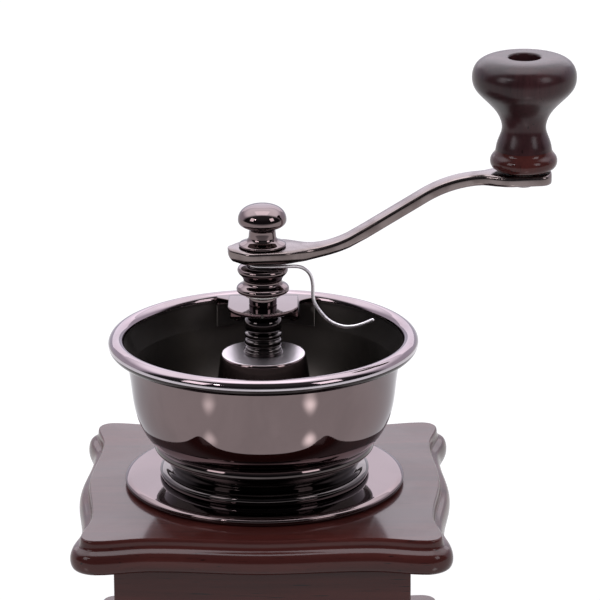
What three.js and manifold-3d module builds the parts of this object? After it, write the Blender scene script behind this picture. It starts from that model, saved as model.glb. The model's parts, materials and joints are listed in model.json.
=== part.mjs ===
// Manual coffee grinder: a moulded wooden box with a drawer, an open spun metal hopper
// and a cranked cone burr, held by a bracket across the hopper.
// Millimetres, +Z up. The origin is the centre of the underside and the drawer faces -Y.

import * as THREE from 'three';
import { mergeVertices } from 'three/addons/utils/BufferGeometryUtils.js';
import Module from 'manifold-3d';

const wasm = await Module();
wasm.setup();

// Fits and cutters
const seatGap = 0.3; // between pieces that bear on each other
const runGap = 0.35; // round the shaft and the knob pin
const drawerGap = 0.6; // round the drawer
const cutOverrun = 2; // how far a cutter passes its piece
const weldDistance = 0.001;

// Wooden box
const feltThickness = 1.5;
const feltInset = 5;
const boardOverhang = 16; // from the body to the outside of the bead
const boardThickness = 13;
const boardCornerRadius = 10;
const boardWaistDepth = 3;
const boardBeadReach = 4; // how far the bead stands out from the top tier
const boardArris = 0.5;
const bodyWidth = 113;
const bodyHeight = 61.6;
const wallThickness = 9;
const railHeight = 20;
const baseScrewRadius = 1.9;
const baseScrewHeadRadius = 3.8;
const baseScrewHeadDepth = 2.6;
const baseScrewBite = 17; // length inside the wall

// Drawer
const drawerSideThickness = 5;
const drawerSideHeight = 34;
const drawerBottomThickness = 3;
const drawerBottomLift = 1.5;
const drawerBackRoom = 3;
const drawerFieldInset = 5; // raised field of the front
const drawerFieldHeight = 1.2;
const drawerKnobRadius = 8;
const drawerKnobLength = 15;
const drawerScrewRadius = 1.8;
const drawerScrewHeadRadius = 3.6;
const drawerScrewHeadDepth = 1.8;
const drawerScrewBite = 8;

// Hopper
const footReach = 17.6; // beyond the bowl's neck
const footHeight = 3.2;
const sheetThickness = 1.5;
const footHoleRoom = 2.5; // round the neck of the burr carrier
const bowlNeckRoom = 5.3; // from the dome's flange out to the bowl's neck
const bowlFlare = 20.2; // from the neck out to the centre line of the rolled rim
const bowlRimBead = 3.1;
const bowlHeight = 53.2; // floor underside to the centre line of the rim
const bowlHoleStep = 0.8; // inside the wall of the dome
const domeHeight = 46.7;
const domeFlangeWidth = 9.6;
const domeNarrowing = 5.6; // from base to crown
const domeSpigotRadius = 5.7;
const windowWidth = 12;
const windowSill = 3;
const windowHeight = 14;

// Bearing stack over the dome
const sleeveRadius = 7.15;
const sleeveFlangeRadius = 7.6;
const sleeveCollarRadius = 5.4;
const sleeveLength = 17.6;
const bracketDiscRadius = 13.9;
const bracketThickness = 1.7;
const bracketHalfWidth = 13.5;
const bracketRootHalfWidth = 19.5;
const bracketRampLength = 11.4;
const bracketLipDepth = 11;
const rivetRadius = 1.5;
const rivetHeadRadius = 2.4;
const rivetLift = 3; // above the foot of the lip
const rivetHeadHeight = 1.3;
const bushRadius = 5.4;
const bushWall = 0.6; // of the spigot in the bracket
const bushLength = 2.9;

// Burrs and spindle
const shaftRadius = 4;
const shaftThreadRadius = 3;
const shaftTail = 8.5; // threaded end below the cone
const coneHeight = 20;
const burrGap = 0.7;
const coneDrop = 3.5; // cone below the ring
const coneTeeth = 12;
const toothDepth = 2;
const ringInnerRadius = 15.3;
const ringWall = 4.6;
const ringTeeth = 18;
const carrierWall = 1.3;
const carrierEdge = 5.8; // beyond the screws
const carrierFlange = 2;
const carrierLip = 2;
const collarRadius = 6;
const collarHeight = 2.5;
const springWire = 1.4;
const springRadius = 6.8; // centre line of the wire
const springLength = 25;
const springTurns = 7;
const springWasherRadius = 9;
const springWasherThickness = 1;
const burrWasherRadius = 8;
const burrWasherThickness = 1.6;
const burrNutRadius = 6.4;
const burrNutHeight = 5;
const hopperScrewRoom = 5.7; // from the neck of the burr carrier to the middle of the screws
const hopperScrewEdge = 4.3; // from there to the edge of the dome's flange
const hopperScrewRadius = 2;
const hopperScrewHeadRadius = 3.4;
const hopperScrewHeadHeight = 2.1;
const hopperNutRadius = 4.1;
const hopperNutHeight = 3.2;

// Crank
const thrustWasherRadius = 7;
const thrustWasherThickness = 1;
const nutRadius = 10.2;
const nutHeight = 10.8;
const wireRadius = 0.7;
const wireReach = 42.9;
const wireDrop = 26.1;
const crankRadius = 101.5;
const crankRise = 26.7; // middle of the hub to the middle of the knob end
const crankBearing = 7.3; // degrees from +X towards +Y
const hubThickness = 5.7;
const hubHalfWidth = 10;
const hubTipHalfWidth = 2.5;
const hubTip = 13.4; // from the shaft to the pointed end
const hubTaper = 6.9;
const hubShoulder = 9; // from the shaft to where the hub narrows
const barHalfWidth = 4;
const barThickness = 4.5;
const barBevel = 0.5;
const padHalfWidth = 8.5;
const padEndHalfWidth = 5;
const padShoulder = 7.5; // from the knob's axis back to the full width
const padTip = 10.5; // from the knob's axis to the end
const padTaper = 2.6;
const squareHalf = 3.1;
const liftRoom = 1.6; // travel of the shaft in the hub
const capNutRadius = 9.4;
const capNutHeight = 16.2;
const capNutThread = 8;

// Crank knob
const knobRadius = 20.3;
const knobHeight = 44.1;
const knobHoleRadius = 6.1;
const knobHoleDepth = 12;
const knobWasherRadius = 7.5;
const knobWasherThickness = 0.6;
const pinRadius = 2.9;
const pinHeadRadius = 5.2;
const pinHeadHeight = 1.8;
const pinTailRadius = 4.2;
const pinTailHeight = 1.2;

// Facets round a turned piece
const hopperFacets = 32;
const domeFacets = 24;
const knobFacets = 20;
const nutFacets = 16;
const turnedFacets = 12;
const smallFacets = 8;
const sideSteps = 10;
const cornerSteps = 3;

// Sizes across that follow from the ones above
const boardWidth = bodyWidth + 2 * boardOverhang;
const coneRadius = ringInnerRadius - burrGap;
const carrierBore = ringInnerRadius + ringWall + seatGap;
const carrierOuter = carrierBore + carrierWall;
const footHoleRadius = carrierOuter + footHoleRoom;
const hopperScrewCircle = carrierOuter + hopperScrewRoom;
const carrierFlangeRadius = hopperScrewCircle + carrierEdge;
const domeFlangeRadius = hopperScrewCircle + hopperScrewEdge;
const domeBaseRadius = domeFlangeRadius - domeFlangeWidth;
const bowlHoleRadius = domeBaseRadius - sheetThickness - bowlHoleStep;
const bowlNeckRadius = domeFlangeRadius + bowlNeckRoom;
const bowlRimRadius = bowlNeckRadius + bowlFlare;
const footRadius = bowlNeckRadius + footReach;

// Heights of the stack, from the floor up
const baseLow = feltThickness + seatGap;
const bodyLow = baseLow + boardThickness + seatGap;
const bodyHigh = bodyLow + bodyHeight;
const boardLow = bodyHigh + seatGap;
const boardTop = boardLow + boardThickness;
const footLow = boardTop + seatGap;
const bowlLow = footLow + footHeight + seatGap;
const floorTop = bowlLow + sheetThickness;
const domeLow = floorTop + seatGap;
const domeTop = domeLow + domeHeight;
const sleeveLow = domeTop + seatGap;
const sleeveTop = sleeveLow + sleeveLength;
const bracketLow = sleeveTop + seatGap;
const bracketTop = bracketLow + bracketThickness;
const bushLow = bracketTop + seatGap;
const bushTop = bushLow + bushLength;
const thrustLow = bushTop + seatGap;
const nutLow = thrustLow + thrustWasherThickness + seatGap;
const nutTop = nutLow + nutHeight;
const wireLevel = nutTop + seatGap + wireRadius;
const hubLow = wireLevel + wireRadius + seatGap;
const hubTop = hubLow + hubThickness;
const capLow = hubTop + seatGap;
const padTop = (hubLow + hubTop + barThickness) / 2 + crankRise;
const knobWasherLow = padTop + seatGap;
const knobLow = knobWasherLow + knobWasherThickness + seatGap;
const bracketArmTop = bowlLow + bowlHeight + bowlRimBead;
const ringTop = bowlLow - seatGap;
const carrierTop = boardLow - seatGap;
const carrierLow = carrierTop - carrierFlange;
const ringLow = carrierLow + sheetThickness + seatGap;
const coneLow = ringLow - coneDrop;
const coneTop = coneLow + coneHeight;
const springHigh = domeTop - sheetThickness - seatGap - springWasherThickness - seatGap;
const springLow = springHigh - springLength;
const collarLow = springLow - seatGap - collarHeight;
const burrWasherLow = coneLow - seatGap - burrWasherThickness;
const burrNutLow = burrWasherLow - seatGap - burrNutHeight;

const finishes = {
  gunmetal: { color: 0x7c6c6d, roughness: 0.16, metalness: 1 },
  wood: { color: 0x3b1913, roughness: 0.32, metalness: 0 },
  paleWood: { color: 0x8a6238, roughness: 0.6, metalness: 0 },
  steel: { color: 0x9b9893, roughness: 0.34, metalness: 1 },
  iron: { color: 0x4a4846, roughness: 0.55, metalness: 1 },
  felt: { color: 0x1d3a2a, roughness: 0.95, metalness: 0 },
};

const grinder = new THREE.Group();
const crankGroup = new THREE.Group();
crankGroup.rotation.z = THREE.MathUtils.degToRad(crankBearing);
grinder.add(crankGroup);

function add(name, geometry, finish, group = grinder) {
  const mesh = new THREE.Mesh(geometry, new THREE.MeshStandardMaterial(finishes[finish]));
  mesh.name = name;
  group.add(mesh);
  return mesh;
}

// Solids and cuts

function solidOf(geometry) {
  const bare = geometry.clone();
  bare.deleteAttribute('normal');
  bare.deleteAttribute('uv');
  const welded = mergeVertices(bare, weldDistance);
  return new wasm.Manifold(
    new wasm.Mesh({
      numProp: 3,
      vertProperties: new Float32Array(welded.attributes.position.array),
      triVerts: new Uint32Array(welded.index.array),
    }),
  );
}

function geometryOf(solid) {
  const mesh = solid.getMesh();
  return meshOf(Array.from(mesh.vertProperties), Array.from(mesh.triVerts));
}

function meshOf(positions, triangles) {
  const geometry = new THREE.BufferGeometry();
  geometry.setAttribute('position', new THREE.Float32BufferAttribute(positions, 3));
  geometry.setIndex(triangles);
  return geometry;
}

function cut(geometry, cutters) {
  let solid = solidOf(geometry);
  for (const cutter of cutters) {
    solid = solid.subtract(solidOf(cutter));
  }
  return geometryOf(solid);
}

// A profile of [radius, height] points, from the axis or ring round and back, turned about Z
function turned(profile, facets) {
  const points = profile.map(([radius, height]) => new THREE.Vector2(radius, height));
  return new THREE.LatheGeometry(points, facets).rotateX(Math.PI / 2);
}

function disc(radius, low, high, facets) {
  return turned([[0, low], [radius, low], [radius, high], [0, high]], facets);
}

function washer(radius, bore, low, high, facets) {
  const ring = [[bore, low], [radius, low], [radius, high], [bore, high], [bore, low]];
  return turned(ring, facets);
}

function block(low, high) {
  const size = high.map((value, axis) => value - low[axis]);
  const middle = high.map((value, axis) => (value + low[axis]) / 2);
  return new THREE.BoxGeometry(...size).translate(...middle);
}

// Points on an arc of a profile, angles in degrees from the radial direction
function arc(radius, centreOut, centreUp, from, to, steps) {
  const points = [];
  for (let i = 0; i <= steps; i++) {
    const angle = THREE.MathUtils.degToRad(from + ((to - from) * i) / steps);
    points.push([centreOut + radius * Math.cos(angle), centreUp + radius * Math.sin(angle)]);
  }
  return points;
}

// Shares of a width and a height, set above a level
function scaled(shares, width, height, level) {
  return shares.map(([out, up]) => [out * width, level + up * height]);
}

// A skin over rings of equally many points; a loop of rings closes on itself, others get caps
function skin(rings, loop = false) {
  const count = rings[0].length;
  const positions = rings.flat(2);
  const triangles = [];
  const bands = loop ? rings.length : rings.length - 1;
  for (let band = 0; band < bands; band++) {
    const low = band * count;
    const high = ((band + 1) % rings.length) * count;
    for (let i = 0; i < count; i++) {
      const next = (i + 1) % count;
      triangles.push(low + i, low + next, high + next, low + i, high + next, high + i);
    }
  }
  if (!loop) {
    addCap(positions, triangles, rings[0], 0, true);
    addCap(positions, triangles, rings.at(-1), bands * count, false);
  }
  return meshOf(positions, triangles);
}

function addCap(positions, triangles, ring, first, flipped) {
  const middle = positions.length / 3;
  for (let axis = 0; axis < 3; axis++) {
    positions.push(ring.reduce((sum, point) => sum + point[axis], 0) / ring.length);
  }
  for (let i = 0; i < ring.length; i++) {
    const here = first + i;
    const next = first + ((i + 1) % ring.length);
    triangles.push(middle, flipped ? next : here, flipped ? here : next);
  }
}

// A tube of even thickness along a smooth path
function tube(path, radius, sides, steps) {
  const section = new THREE.Shape();
  for (let i = 0; i < sides; i++) {
    const angle = (i * 2 * Math.PI) / sides;
    const place = [radius * Math.cos(angle), radius * Math.sin(angle)];
    if (i === 0) {
      section.moveTo(...place);
    } else {
      section.lineTo(...place);
    }
  }
  return new THREE.ExtrudeGeometry(section, { steps, extrudePath: path, bevelEnabled: false });
}

// Moulded boards

// Inset from the bead and depth below the top face, as shares of the bead's reach and the thickness
const mouldingShares = [
  [0.6, 1],
  [0.12, 0.88],
  [0, 0.66],
  [0.18, 0.44],
  [0.62, 0.32],
  [0.95, 0.24],
  [1, 0.05],
];
const waistPlaceShare = 0.57;

// 0 on the lobes and 1 at the waists of a side
function waistShare(along, waist, end) {
  const rise = Math.sin((Math.PI / 2) * (along / waist)) ** 2;
  const fall = Math.cos((Math.PI / 2) * ((along - waist) / (end - waist))) ** 2;
  return along < waist ? rise : fall;
}

function boardOutline() {
  const half = boardWidth / 2;
  const end = half - boardCornerRadius;
  const side = [];
  for (let i = 0; i < sideSteps; i++) {
    const along = end * ((2 * i) / sideSteps - 1);
    side.push([along, boardWaistDepth * waistShare(Math.abs(along), waistPlaceShare * half, end) - half]);
  }
  const corner = arc(boardCornerRadius, end, -end, -90, 0, cornerSteps).slice(0, -1);
  const outline = [];
  for (const turn of [0, 1, 2, 3]) {
    const angle = (turn * Math.PI) / 2;
    for (const [x, y] of [...side, ...corner]) {
      const across = x * Math.cos(angle) - y * Math.sin(angle);
      outline.push([across, x * Math.sin(angle) + y * Math.cos(angle)]);
    }
  }
  return outline;
}

function insetRing(outline, inset, height) {
  return outline.map(([x, y], i) => {
    const before = outline.at(i - 1);
    const after = outline[(i + 1) % outline.length];
    const along = new THREE.Vector2(after[0] - before[0], after[1] - before[1]).normalize();
    return [x - along.y * inset, y + along.x * inset, height];
  });
}

function mouldedBoard(low) {
  const outline = boardOutline();
  const top = low + boardThickness;
  const rings = mouldingShares.map(([inset, depth]) =>
    insetRing(outline, inset * boardBeadReach, top - depth * boardThickness),
  );
  rings.push(insetRing(outline, boardBeadReach + boardArris, top));
  return skin(rings);
}

// The diagonal places of the hopper screws and the places of the base screws
function fourPlaces(x, y) {
  return [[x, y], [-x, y], [-x, -y], [x, -y]];
}

const hopperScrewPlaces = fourPlaces(hopperScrewCircle * Math.SQRT1_2, hopperScrewCircle * Math.SQRT1_2);
const wallMiddle = (bodyWidth - wallThickness) / 2;
const baseScrewPlaceShare = 0.68;
const baseScrewPlaces = fourPlaces(wallMiddle, (baseScrewPlaceShare * bodyWidth) / 2);

function screwHoles(places, radius, low, high) {
  return places.map(([x, y]) => {
    return disc(radius + seatGap, low - cutOverrun, high + cutOverrun, smallFacets).translate(x, y, 0);
  });
}

function feltSole() {
  const outline = boardOutline();
  return skin([insetRing(outline, feltInset, 0), insetRing(outline, feltInset, feltThickness)]);
}

function baseScrewProfile(growth) {
  const top = bodyLow + baseScrewBite + growth;
  const neck = baseLow + seatGap + baseScrewHeadDepth + growth;
  const head = baseScrewHeadRadius + growth;
  return [[0, baseLow + seatGap], [head, baseLow + seatGap], [baseScrewRadius + growth, neck],
    [baseScrewRadius + growth, top - baseScrewRadius], [0, top]];
}

function baseScrewCutters() {
  return baseScrewPlaces.map(([x, y]) => {
    const sink = [[0, baseLow - cutOverrun], [baseScrewHeadRadius + seatGap, baseLow - cutOverrun]];
    return turned([...sink, ...baseScrewProfile(seatGap).slice(1)], smallFacets).translate(x, y, 0);
  });
}

function box() {
  const half = bodyWidth / 2;
  const inner = half - wallThickness;
  const railLow = bodyHigh - railHeight;
  const notch = block(
    [-half - cutOverrun, -half - cutOverrun, railLow - seatGap],
    [half + cutOverrun, -inner + seatGap, bodyHigh + cutOverrun],
  );
  add('felt_sole', feltSole(), 'felt');
  add('base_board', cut(mouldedBoard(baseLow), baseScrewCutters()), 'wood');
  for (const [name, side] of [['left_wall', -1], ['right_wall', 1]]) {
    const faces = [side * inner, side * half];
    const wall = block([Math.min(...faces), -half, bodyLow], [Math.max(...faces), half, bodyHigh]);
    add(name, cut(wall, [notch, ...baseScrewCutters()]), 'wood');
  }
  const backEdge = inner - seatGap;
  add('back_wall', block([-backEdge, inner, bodyLow], [backEdge, half, bodyHigh]), 'wood');
  add('front_rail', block([-half, -half, railLow], [half, -inner, bodyHigh]), 'wood');
  const boardHole = disc(carrierOuter + seatGap, boardLow - cutOverrun, boardTop + cutOverrun, domeFacets);
  const boardCuts = [boardHole, ...screwHoles(hopperScrewPlaces, hopperScrewRadius, boardLow, boardTop)];
  add('top_board', cut(mouldedBoard(boardLow), boardCuts), 'wood');
  baseScrewPlaces.forEach(([x, y], i) => {
    const screw = turned(baseScrewProfile(0), smallFacets).translate(x, y, 0);
    add(`base_screw_${i + 1}`, screw, 'steel');
  });
}

// Drawer

const drawerHalf = bodyWidth / 2 - wallThickness - drawerGap;
const drawerLow = bodyLow - seatGap + drawerGap;
const drawerHigh = bodyHigh - railHeight - drawerGap;
const drawerBack = bodyWidth / 2 - wallThickness - drawerBackRoom;
const drawerFrontBack = -bodyWidth / 2 + wallThickness;
const drawerKnobLevel = (drawerLow + drawerHigh) / 2;

// A small knob on a flared foot: radius and length shares
const drawerKnobShares = [
  [0.62, 0],
  [0.6, 0.08],
  [0.36, 0.2],
  [0.36, 0.34],
  [0.72, 0.5],
  [1, 0.7],
  [0.94, 0.86],
  [0.6, 0.97],
];

function drawerFront() {
  const half = bodyWidth / 2;
  const face = (inset, y) => [
    [-drawerHalf + inset, y, drawerHigh - inset],
    [drawerHalf - inset, y, drawerHigh - inset],
    [drawerHalf - inset, y, drawerLow + inset],
    [-drawerHalf + inset, y, drawerLow + inset],
  ];
  const field = -half + drawerFieldHeight;
  const slope = drawerFieldInset + drawerFieldHeight;
  return skin([face(slope, -half), face(drawerFieldInset, field), face(0, field), face(0, drawerFrontBack)]);
}

function acrossY(geometry) {
  return geometry.rotateX(Math.PI / 2).translate(0, -bodyWidth / 2, drawerKnobLevel);
}

function drawer() {
  const frontDepth = wallThickness;
  const sideInner = drawerHalf - drawerSideThickness;
  const sideHigh = drawerLow + drawerSideHeight;
  const sideFront = drawerFrontBack + seatGap;
  const backFront = drawerBack - drawerSideThickness;
  const screwHole = acrossY(
    disc(drawerScrewRadius + seatGap, -frontDepth - cutOverrun, cutOverrun, smallFacets),
  );
  add('drawer_front', cut(drawerFront(), [screwHole]), 'wood');
  for (const [name, side] of [['drawer_side_left', -1], ['drawer_side_right', 1]]) {
    const faces = [side * sideInner, side * drawerHalf];
    const low = [Math.min(...faces), sideFront, drawerLow];
    add(name, block(low, [Math.max(...faces), drawerBack, sideHigh]), 'paleWood');
  }
  const panelHalf = sideInner - seatGap;
  const panelLow = drawerLow + drawerBottomLift;
  const panelTop = panelLow + drawerBottomThickness;
  const bottomBack = backFront - seatGap;
  add('drawer_back', block([-panelHalf, backFront, drawerLow], [panelHalf, drawerBack, sideHigh]), 'paleWood');
  add('drawer_bottom', block([-panelHalf, sideFront, panelLow], [panelHalf, bottomBack, panelTop]), 'paleWood');
  const threadDepth = drawerScrewBite + seatGap;
  const bore = drawerScrewRadius + seatGap;
  const knobOutline = scaled(drawerKnobShares, drawerKnobRadius, drawerKnobLength, seatGap);
  const knobProfile = [[0, seatGap + threadDepth], [bore, seatGap + threadDepth], [bore, seatGap],
    ...knobOutline, [0, seatGap + drawerKnobLength]];
  add('drawer_knob', acrossY(turned(knobProfile, turnedFacets)), 'gunmetal');
  const headFace = -frontDepth - seatGap;
  const headEnd = headFace - drawerScrewHeadDepth;
  const screwProfile = [[0, headEnd], [drawerScrewHeadRadius - drawerScrewHeadDepth / 2, headEnd],
    [drawerScrewHeadRadius, headFace - drawerScrewHeadDepth / 2], [drawerScrewHeadRadius, headFace],
    [drawerScrewRadius, headFace], [drawerScrewRadius, drawerScrewBite], [0, drawerScrewBite]];
  add('drawer_knob_screw', acrossY(turned(screwProfile, smallFacets)), 'steel');
}

// Hopper

// Outside of the bowl, from the foot flare up: share of the way from neck to rim, and height
const bowlOutsideShares = [
  [0.21, 0],
  [0.097, 0.014],
  [0.128, 0.035],
  [0, 0.07],
  [0.041, 0.105],
  [0.125, 0.18],
  [0.289, 0.222],
  [0.281, 0.256],
  [0.436, 0.318],
  [0.594, 0.425],
  [0.69, 0.568],
  [0.735, 0.71],
  [0.789, 0.834],
  [0.864, 0.935],
];
const bowlInsideShares = [
  [0.701, 0.834],
  [0.65, 0.71],
  [0.602, 0.568],
  [0.506, 0.425],
  [0.351, 0.325],
  [0.153, 0.24],
  [0, 0.15],
  [-0.129, 0.062],
];

function bowlLine(shares) {
  const line = scaled(shares, bowlFlare, bowlHeight, bowlLow);
  return line.map(([out, level]) => [bowlNeckRadius + out, level]);
}

// Degrees round the bead from under its outside, over the top and down to the inside
const rimStart = -100;
const rimEnd = 200;
const rimSteps = 7;

function bowlProfile() {
  const inside = bowlLine(bowlInsideShares);
  const rim = arc(bowlRimBead, bowlRimRadius, bowlLow + bowlHeight, rimStart, rimEnd, rimSteps);
  const floorEdge = [inside.at(-1)[0] - sheetThickness, floorTop];
  return [[bowlHoleRadius, bowlLow], ...bowlLine(bowlOutsideShares), ...rim, ...inside, floorEdge,
    [bowlHoleRadius, floorTop], [bowlHoleRadius, bowlLow]];
}

// The upper wall as a straight line between two of its points, for the bracket's lip
function wallLine() {
  const low = bowlLine(bowlInsideShares)[0];
  const rimInside = arc(bowlRimBead, bowlRimRadius, bowlLow + bowlHeight, rimEnd, rimEnd, 1)[0];
  const along = new THREE.Vector2(rimInside[0] - low[0], rimInside[1] - low[1]).normalize();
  return { low, rimInside, along };
}

const footShares = [
  [0.96, 0],
  [0.985, 0],
  [1, 0.3],
  [0.995, 0.75],
  [0.97, 1],
];

function footProfile() {
  const outside = scaled(footShares, footRadius, footHeight, footLow);
  const underside = footLow + footHeight - sheetThickness;
  const edgeInside = footShares[0][0] * footRadius;
  return [[footHoleRadius, underside], [edgeInside, underside], ...outside,
    [footHoleRadius, footLow + footHeight], [footHoleRadius, underside]];
}

// Dome wall from the flange to the crown: share of the way from base to top radius, and height
const domeWallShares = [
  [0, 0.06],
  [0.34, 0.4],
  [0.66, 0.74],
  [0.94, 0.955],
  [1.06, 0.99],
  [1.3, 1],
];

const domeWallPoints = 4; // of them below the crown

function domeProfile() {
  const outside = domeWallShares.map(([inwards, up]) => {
    return [domeBaseRadius - inwards * domeNarrowing, domeLow + up * domeHeight];
  });
  const hole = domeSpigotRadius + seatGap;
  const ceiling = domeTop - sheetThickness;
  const wall = outside.slice(0, domeWallPoints).reverse();
  const inside = wall.map(([out, level]) => [out - sheetThickness, Math.min(level, ceiling)]);
  const flangeTop = domeLow + sheetThickness;
  return [[domeBaseRadius - sheetThickness, domeLow], [domeFlangeRadius, domeLow],
    [domeFlangeRadius, flangeTop], [domeBaseRadius + seatGap, flangeTop], ...outside,
    [hole, domeTop], [hole, ceiling], ...inside, [domeBaseRadius - sheetThickness, domeLow]];
}

// An arched window right through the dome, along Y
function windowCutter() {
  const half = windowWidth / 2;
  const low = domeLow + windowSill;
  const spring = low + windowHeight - half;
  const arch = new THREE.Shape([
    new THREE.Vector2(-half, low),
    new THREE.Vector2(half, low),
    ...arc(half, 0, spring, 0, 180, 6).map(([x, z]) => new THREE.Vector2(x, z)),
  ]);
  const depth = 2 * (domeFlangeRadius + cutOverrun);
  const prism = new THREE.ExtrudeGeometry(arch, { depth, bevelEnabled: false });
  return prism.rotateX(Math.PI / 2).translate(0, depth / 2, 0);
}

function hopper() {
  const holes = screwHoles(hopperScrewPlaces, hopperScrewRadius, carrierLow, domeLow + sheetThickness);
  add('hopper_foot', cut(turned(footProfile(), hopperFacets), holes), 'gunmetal');
  const rivetHoles = rivetPlaces.map((place) => rivet(place, rivetHoleProfile()));
  add('hopper_bowl', cut(turned(bowlProfile(), hopperFacets), [...holes, ...rivetHoles]), 'gunmetal');
  const windows = [windowCutter(), windowCutter().rotateZ(Math.PI / 2)];
  add('bearing_dome', cut(turned(domeProfile(), domeFacets), [...holes, ...windows]), 'gunmetal');
}

// Bearing sleeve: ribs, a barrel and a collar, radius shares and height shares of the sleeve
const sleeveShares = [
  [1, 0.07],
  [1, 0.13],
  [0.9, 0.16],
  [1, 0.2],
  [1, 0.3],
  [0.9, 0.34],
  [1, 0.38],
  [1, 0.46],
  [0.86, 0.49],
  [0.98, 0.56],
  [1.02, 0.66],
  [0.98, 0.77],
  [0.86, 0.84],
];

function sleeveProfile() {
  const bore = shaftRadius + runGap;
  const spigotLow = domeTop - sheetThickness + seatGap;
  const flangeTop = sleeveLow + sleeveShares[0][1] * sleeveLength;
  const collarFoot = sleeveLow + sleeveShares.at(-1)[1] * sleeveLength;
  return [[bore, spigotLow], [domeSpigotRadius, spigotLow], [domeSpigotRadius, sleeveLow],
    [sleeveFlangeRadius, sleeveLow], [sleeveFlangeRadius, flangeTop],
    ...scaled(sleeveShares, sleeveRadius, sleeveLength, sleeveLow),
    [sleeveCollarRadius, collarFoot], [sleeveCollarRadius, sleeveTop],
    [bore, sleeveTop], [bore, spigotLow]];
}

// Bracket: a flat disc round the shaft, a ramp down to an arm, and a lip inside the rim

const bracketDiscLevel = bracketLow + bracketThickness / 2;
const bracketArmLevel = bracketArmTop - bracketThickness / 2;
const bracketDiscShares = [-0.94, -0.72, -0.36, 0, 0.24, 0.6];
const bracketRampShares = [
  [0, 0],
  [0.12, 0.05],
  [0.24, 0.17],
  [0.78, 0.86],
  [0.9, 0.97],
  [1.05, 1],
];
const bracketArmShares = [0.25, 0.5, 0.72, 0.86, 1];
const bracketRampPlaceShare = 0.86;
const bracketFlareShare = 0.7;
const bracketMitreShare = 0.5;
const bracketAcross = 4;

// Stations of the bracket's middle surface: distance from the shaft, level, half width, bend to the rim

function bracketDiscStations() {
  return bracketDiscShares.map((share) => {
    const y = share * bracketDiscRadius;
    const round = Math.min(Math.sqrt(bracketDiscRadius ** 2 - y ** 2), bracketHalfWidth);
    return [y, bracketDiscLevel, share < 0 ? round : bracketHalfWidth, 0];
  });
}

function bracketRampStations() {
  const drop = bracketDiscLevel - bracketArmLevel;
  return bracketRampShares.map(([out, down]) => {
    const y = bracketDiscRadius * bracketRampPlaceShare + out * bracketRampLength;
    return [y, bracketDiscLevel - down * drop, bracketHalfWidth, 0];
  });
}

function bracketArmStations(start, end) {
  return bracketArmShares.map((share) => {
    const flare = THREE.MathUtils.smoothstep(share, bracketFlareShare, 1);
    const half = bracketHalfWidth + flare * (bracketRootHalfWidth - bracketHalfWidth);
    return [start + share * (end - start), bracketArmLevel, half, share];
  });
}

function bracketStations() {
  const { rimInside, along } = wallLine();
  const lean = along.x / along.y;
  const clear = seatGap + bracketThickness / 2;
  const lipTop = rimInside[0] - clear / along.y;
  const footLevel = bracketArmLevel - bracketLipDepth;
  const lipFoot = lipTop - (rimInside[1] - footLevel) * lean;
  const armEnd = lipTop - bracketThickness / 2;
  const bend = (2 * armEnd + lipTop) / 3;
  const ramp = bracketRampStations();
  return [
    ...bracketDiscStations(),
    ...ramp,
    ...bracketArmStations(ramp.at(-1)[0], armEnd),
    [bend, bracketArmLevel - bracketThickness / 3, bracketRootHalfWidth, 1],
    [lipTop, rimInside[1], bracketRootHalfWidth, 1],
    [lipFoot, footLevel, bracketRootHalfWidth, 1],
  ];
}

// The direction of the line through a station, and how far a mitre there stretches the thickness
function stationTurn(stations, i) {
  const [y, z] = stations[i];
  const before = stations[Math.max(i - 1, 0)];
  const after = stations[Math.min(i + 1, stations.length - 1)];
  const into = new THREE.Vector2(y - before[0], z - before[1]).normalize();
  const away = new THREE.Vector2(after[0] - y, after[1] - z).normalize();
  const along = into.clone().add(away).normalize();
  const mitre = Math.max(along.dot(away), along.dot(into), bracketMitreShare);
  return { along, stretch: bracketThickness / 2 / mitre };
}

function bracketRow([y, z, half, bend], { along, stretch }, side) {
  const distance = y - side * stretch * along.y;
  const level = z + side * stretch * along.x;
  const points = [];
  for (let j = 0; j <= bracketAcross; j++) {
    const x = half * ((2 * j) / bracketAcross - 1);
    const curved = Math.sqrt(Math.max(distance ** 2 - x ** 2, 0));
    points.push([x, distance + bend * (curved - distance), level]);
  }
  return points;
}

function bracketPlate() {
  const stations = bracketStations();
  return plateSkin(
    stations.map((station, i) => {
      const turn = stationTurn(stations, i);
      return { top: bracketRow(station, turn, 1), under: bracketRow(station, turn, -1) };
    }),
  );
}

// A closed plate over rows of points on its top and underside
function plateSkin(rows) {
  const width = rows[0].top.length;
  const positions = rows.flatMap(({ top, under }) => [...top, ...under.slice().reverse()]).flat();
  const around = 2 * width;
  const triangles = [];
  for (let row = 0; row < rows.length - 1; row++) {
    for (let i = 0; i < around; i++) {
      const here = row * around + i;
      const next = row * around + ((i + 1) % around);
      triangles.push(here, next, next + around, here, next + around, here + around);
    }
  }
  const last = (rows.length - 1) * around;
  for (let i = 0; i < width - 1; i++) {
    const far = around - 1 - i;
    triangles.push(i, far, i + 1, i + 1, far, far - 1);
    triangles.push(last + i, last + i + 1, last + far, last + i + 1, last + far - 1, last + far);
  }
  return meshOf(positions, triangles);
}

// Rivets through the lip and the wall, one each side of the middle
const rivetPlaces = [['bracket_rivet_left', 103], ['bracket_rivet_right', 77]];

const rivetCrownShares = [0.7, 0.8];

// Along the rivet's axis, 0 is the inside of the wall and outwards is positive
function rivetSpan() {
  const inner = -bracketThickness - 3 * seatGap;
  const outer = sheetThickness + 2 * seatGap;
  return { inner, outer };
}

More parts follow.
